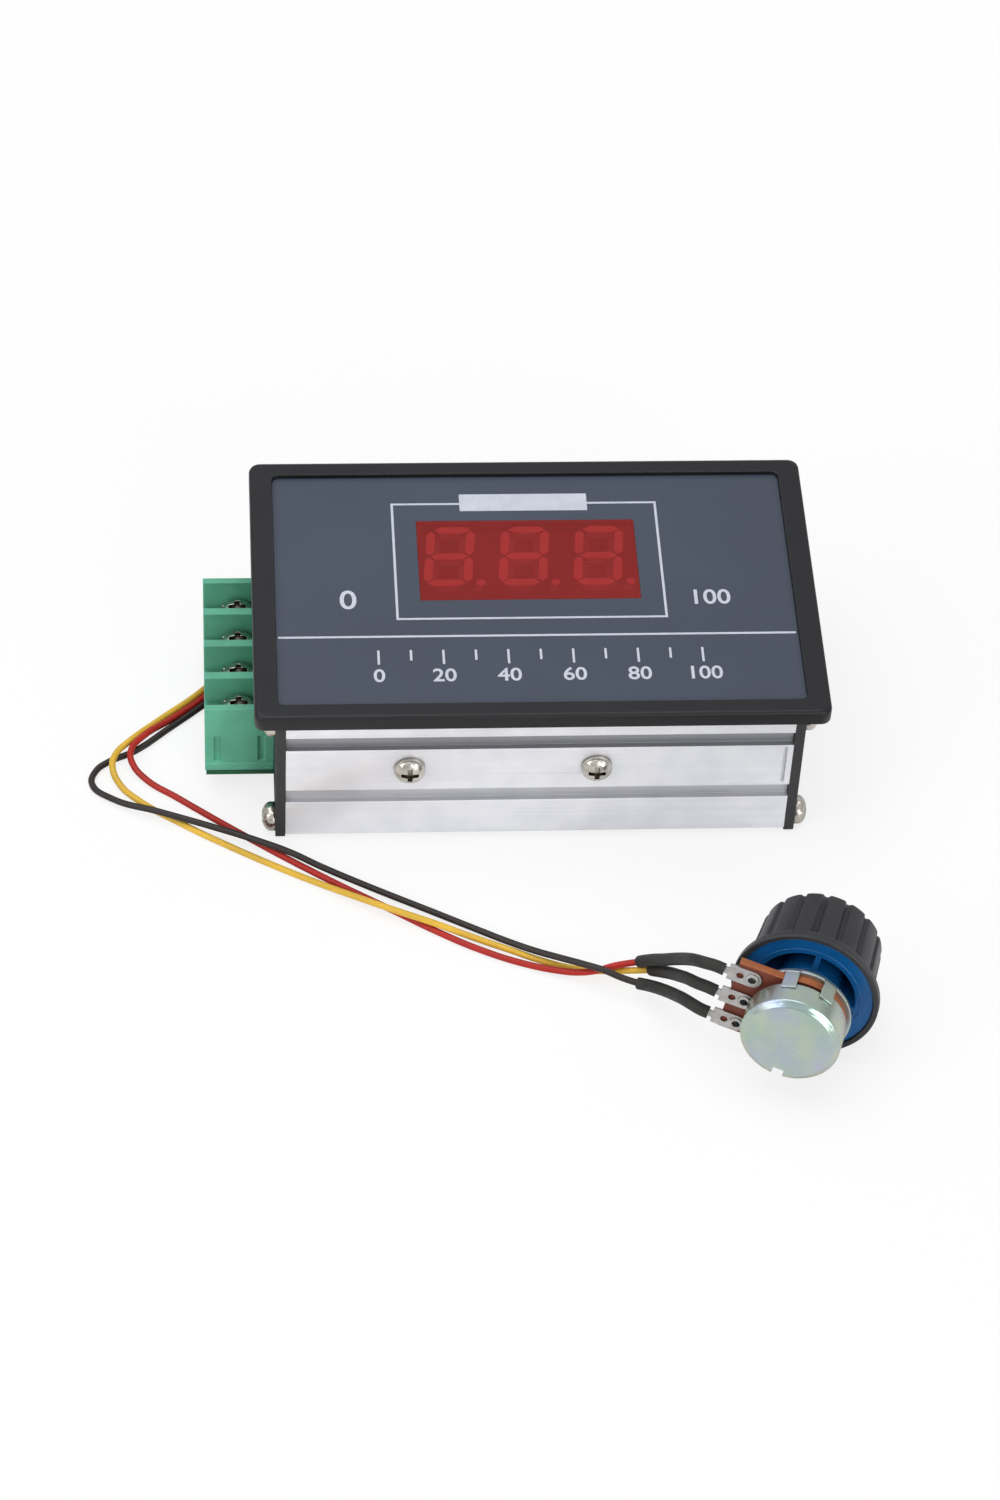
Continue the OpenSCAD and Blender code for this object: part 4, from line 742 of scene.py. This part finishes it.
worked_copy("pot_lugs", "tinned_lugs", tinned, edge=0.00007)
worked_copy("pot_rivets", "hollow_rivets", tinned, edge=0.00007)
carbon_ink = moulded(
    "carbon_ink", tint(30, 30, 32), tint(52, 52, 54),
    roughness=0.55, grain=2200, patches=900,
)
dress("resistance_track", carbon_ink)

# Bushing, shaft, rotor and wiper
# The bushing and the shaft are turned brass under nickel. The rotor is moulded, and its wiper is
# spring brass.
turned_nickel = bright_metal(
    "turned_nickel", tint(206, 196, 184), tint(140, 122, 104),
    roughness=0.28, metallic=1, along=900, across=900,
)
worked_copy("pot_bushing", "threaded_bushing", turned_nickel, edge=0.00008)
worked_copy("pot_shaft", "control_shaft", turned_nickel, edge=0.00008, body="knob")
dress("pot_rotor", epoxy)
spring_brass = bright_metal("spring_brass", tint(214, 178, 96), tint(150, 118, 60), roughness=0.3)
dress("pot_wiper", spring_brass)

# Knob insert
# A blue plastic hub with four ribs, pressed into the knob. Its deep pockets go almost black.
blue = moulded(
    "blue_polystyrene", tint(10, 84, 142), tint(70, 138, 186),
    roughness=0.3, grain=2400, patches=160, depth=0.000006, mottle=0.12,
)
worked_copy("knob_insert", "blue_insert", blue, edge=0.00014, body="knob")


# Knob
# A hollow black ABS knob with sixteen rounded lobes, narrow grooves between them and a flange at
# its open end. It is turned here ring by ring, and then its grooves are pressed in.
def turned(name, stations, sides):
    """A hollow piece about Z, pulled from a circle through stations of radius and height."""
    bpy.ops.object.select_all(action="DESELECT")
    radius, height = stations[0]
    place = (0, 0, height / 1000)
    bpy.ops.mesh.primitive_circle_add(vertices=sides, radius=radius / 1000, location=place)
    piece = bpy.context.object
    piece.name = name
    bpy.ops.object.mode_set(mode="EDIT")
    bpy.ops.mesh.select_all(action="SELECT")
    for (radius, height), (next_radius, next_height) in zip(stations, stations[1:]):
        rise = (next_height - height) / 1000
        bpy.ops.mesh.extrude_region_move(TRANSFORM_OT_translate={"value": (0, 0, rise)})
        growth = next_radius / radius
        bpy.ops.transform.resize(value=(growth, growth, 1), center_override=(0, 0, 0))
    bpy.ops.mesh.select_all(action="SELECT")
    bpy.ops.mesh.fill_holes(sides=0)
    bpy.ops.object.mode_set(mode="OBJECT")
    bpy.ops.object.transform_apply(location=True, rotation=True, scale=True)
    return piece


lobes, lobe_points = 16, 12
knob = turned("lobed_knob", [
    (9.2, 25.25), (9.2, 13.15), (11.3, 13.15), (11.3, 12.4), (11.45, 12.25), (12.05, 12.25),
    (12.25, 12.45), (12.25, 13.6), (12.1, 13.85), (11.3, 14.15), (10.8, 14.5), (10.7, 14.6),
    (10.43, 19.8), (10.12, 25.7), (10.0, 26.2), (9.75, 26.55), (9.4, 26.75), (9.0, 26.75),
    (8.8, 26.6), (8.6, 26.55),
], lobes * lobe_points)
grooves_from, inner_wall, lobe_radius = 0.01455, 0.0093, 10.4


def points_off_groove(point):
    """How many points round the knob lie between a point and the nearest groove's middle."""
    place_round = math.atan2(point.y, point.x) / math.tau * lobes * lobe_points
    return abs(place_round % lobe_points - lobe_points / 2)


def on_grooved_wall(point):
    """Whether a point is on the outer wall above the flange."""
    return point.z > grooves_from and math.hypot(point.x, point.y) > inner_wall


for off_groove, pressed in ((0, 0.6), (1, 0.45), (2, 0.05), (3, 0.01)):
    def pressed_here(point):
        return on_grooved_wall(point) and round(points_off_groove(point)) == off_groove

    share = 1 - pressed / lobe_radius
    stretch_points(knob, pressed_here, (share, share, 1), (0, 0, 0))
knob.matrix_world = pot_place
bpy.ops.object.transform_apply(location=True, rotation=True, scale=True)
knob_skin = moulded(
    "knob_abs", tint(46, 46, 48), tint(84, 84, 86),
    roughness=0.4, grain=3600, patches=90, depth=0.00001, mottle=0.12, edge=0.00025,
)
finish_piece(knob, knob_skin, "knob_shell", "knob")

# Floor
# A pale plain floor, wide enough to fill every view.
bpy.ops.object.select_all(action="DESELECT")
bpy.ops.mesh.primitive_plane_add(size=6)
floor = bpy.context.object
floor.name = "studio_floor"
floor_paper = bpy.data.materials.new("floor_paper")
floor_paper.use_nodes = True
tree = floor_paper.node_tree
paper = tree.nodes["Principled BSDF"]
paper.inputs["Base Color"].default_value = (0.94, 0.94, 0.94, 1)
paper.inputs["Roughness"].default_value = 0.8
glow = step(tree, "ShaderNodeEmission", {"Color": (1, 1, 1, 1), "Strength": 1})
ray = step(tree, "ShaderNodeLightPath")
spot = step(tree, "ShaderNodeTexCoord").outputs["Object"]
away = step(tree, "ShaderNodeVectorMath", {0: spot}, operation="LENGTH").outputs["Value"]
seen = sum_of(tree, "MULTIPLY", ray.outputs["Is Camera Ray"], spread(tree, away, 0.78, 1, 0.1, 0.4))
blended = step(tree, "ShaderNodeMixShader", {0: seen, 1: paper.outputs[0], 2: glow.outputs[0]})
tree.links.new(blended.outputs[0], tree.nodes["Material Output"].inputs["Surface"])
floor.data.materials.append(floor_paper)

# World
# The camera sees plain white. Everything else sees a soft sky, darker near the horizon, so that
# plated metal has something to mirror.
world = bpy.data.worlds.new("studio_world")
bpy.context.scene.world = world
world.use_nodes = True
tree = world.node_tree
tree.nodes.clear()
heading = step(tree, "ShaderNodeTexCoord").outputs["Generated"]
height = step(tree, "ShaderNodeSeparateXYZ", {0: heading}).outputs["Z"]
dome = spread(tree, height, 0.16, 0.5, 0.0, 0.6)
mirrored_dome = spread(tree, height, 0.3, 0.8, 0.0, 0.35)
rays = step(tree, "ShaderNodeLightPath").outputs
mirrored = sum_of(tree, "MAXIMUM", rays["Is Glossy Ray"], rays["Is Transmission Ray"])
strength = step(tree, "ShaderNodeMix", {0: mirrored, 2: dome, 3: mirrored_dome}).outputs[0]
sky = step(tree, "ShaderNodeBackground", {"Color": (0.95, 0.97, 1, 1), "Strength": strength})
white = step(tree, "ShaderNodeBackground", {"Color": (1, 1, 1, 1), "Strength": 1})
shown = {0: rays["Is Camera Ray"], 1: sky.outputs[0], 2: white.outputs[0]}
both = step(tree, "ShaderNodeMixShader", shown)
step(tree, "ShaderNodeOutputWorld", {"Surface": both.outputs[0]})


# Lights
# One large soft light above, a fill from the left, and one from the front on the right.
def soft_light(name, place, target, size, power):
    """A square area light at a place that shines at a target."""
    bpy.ops.object.light_add(type="AREA", location=place)
    light = bpy.context.object
    light.name = name
    light.data.size = size
    light.data.energy = power
    aim = Vector(target) - Vector(place)
    light.rotation_euler = aim.to_track_quat("-Z", "Y").to_euler()


soft_light("top_light", (-0.15, 0.1, 0.9), (0, 0, 0), 0.9, 4.8)
soft_light("left_fill", (-0.8, -0.45, 0.5), (0, 0, 0.02), 0.5, 2.2)
soft_light("front_fill", (0.45, -0.9, 0.35), (0, 0, 0.02), 0.6, 3.6)
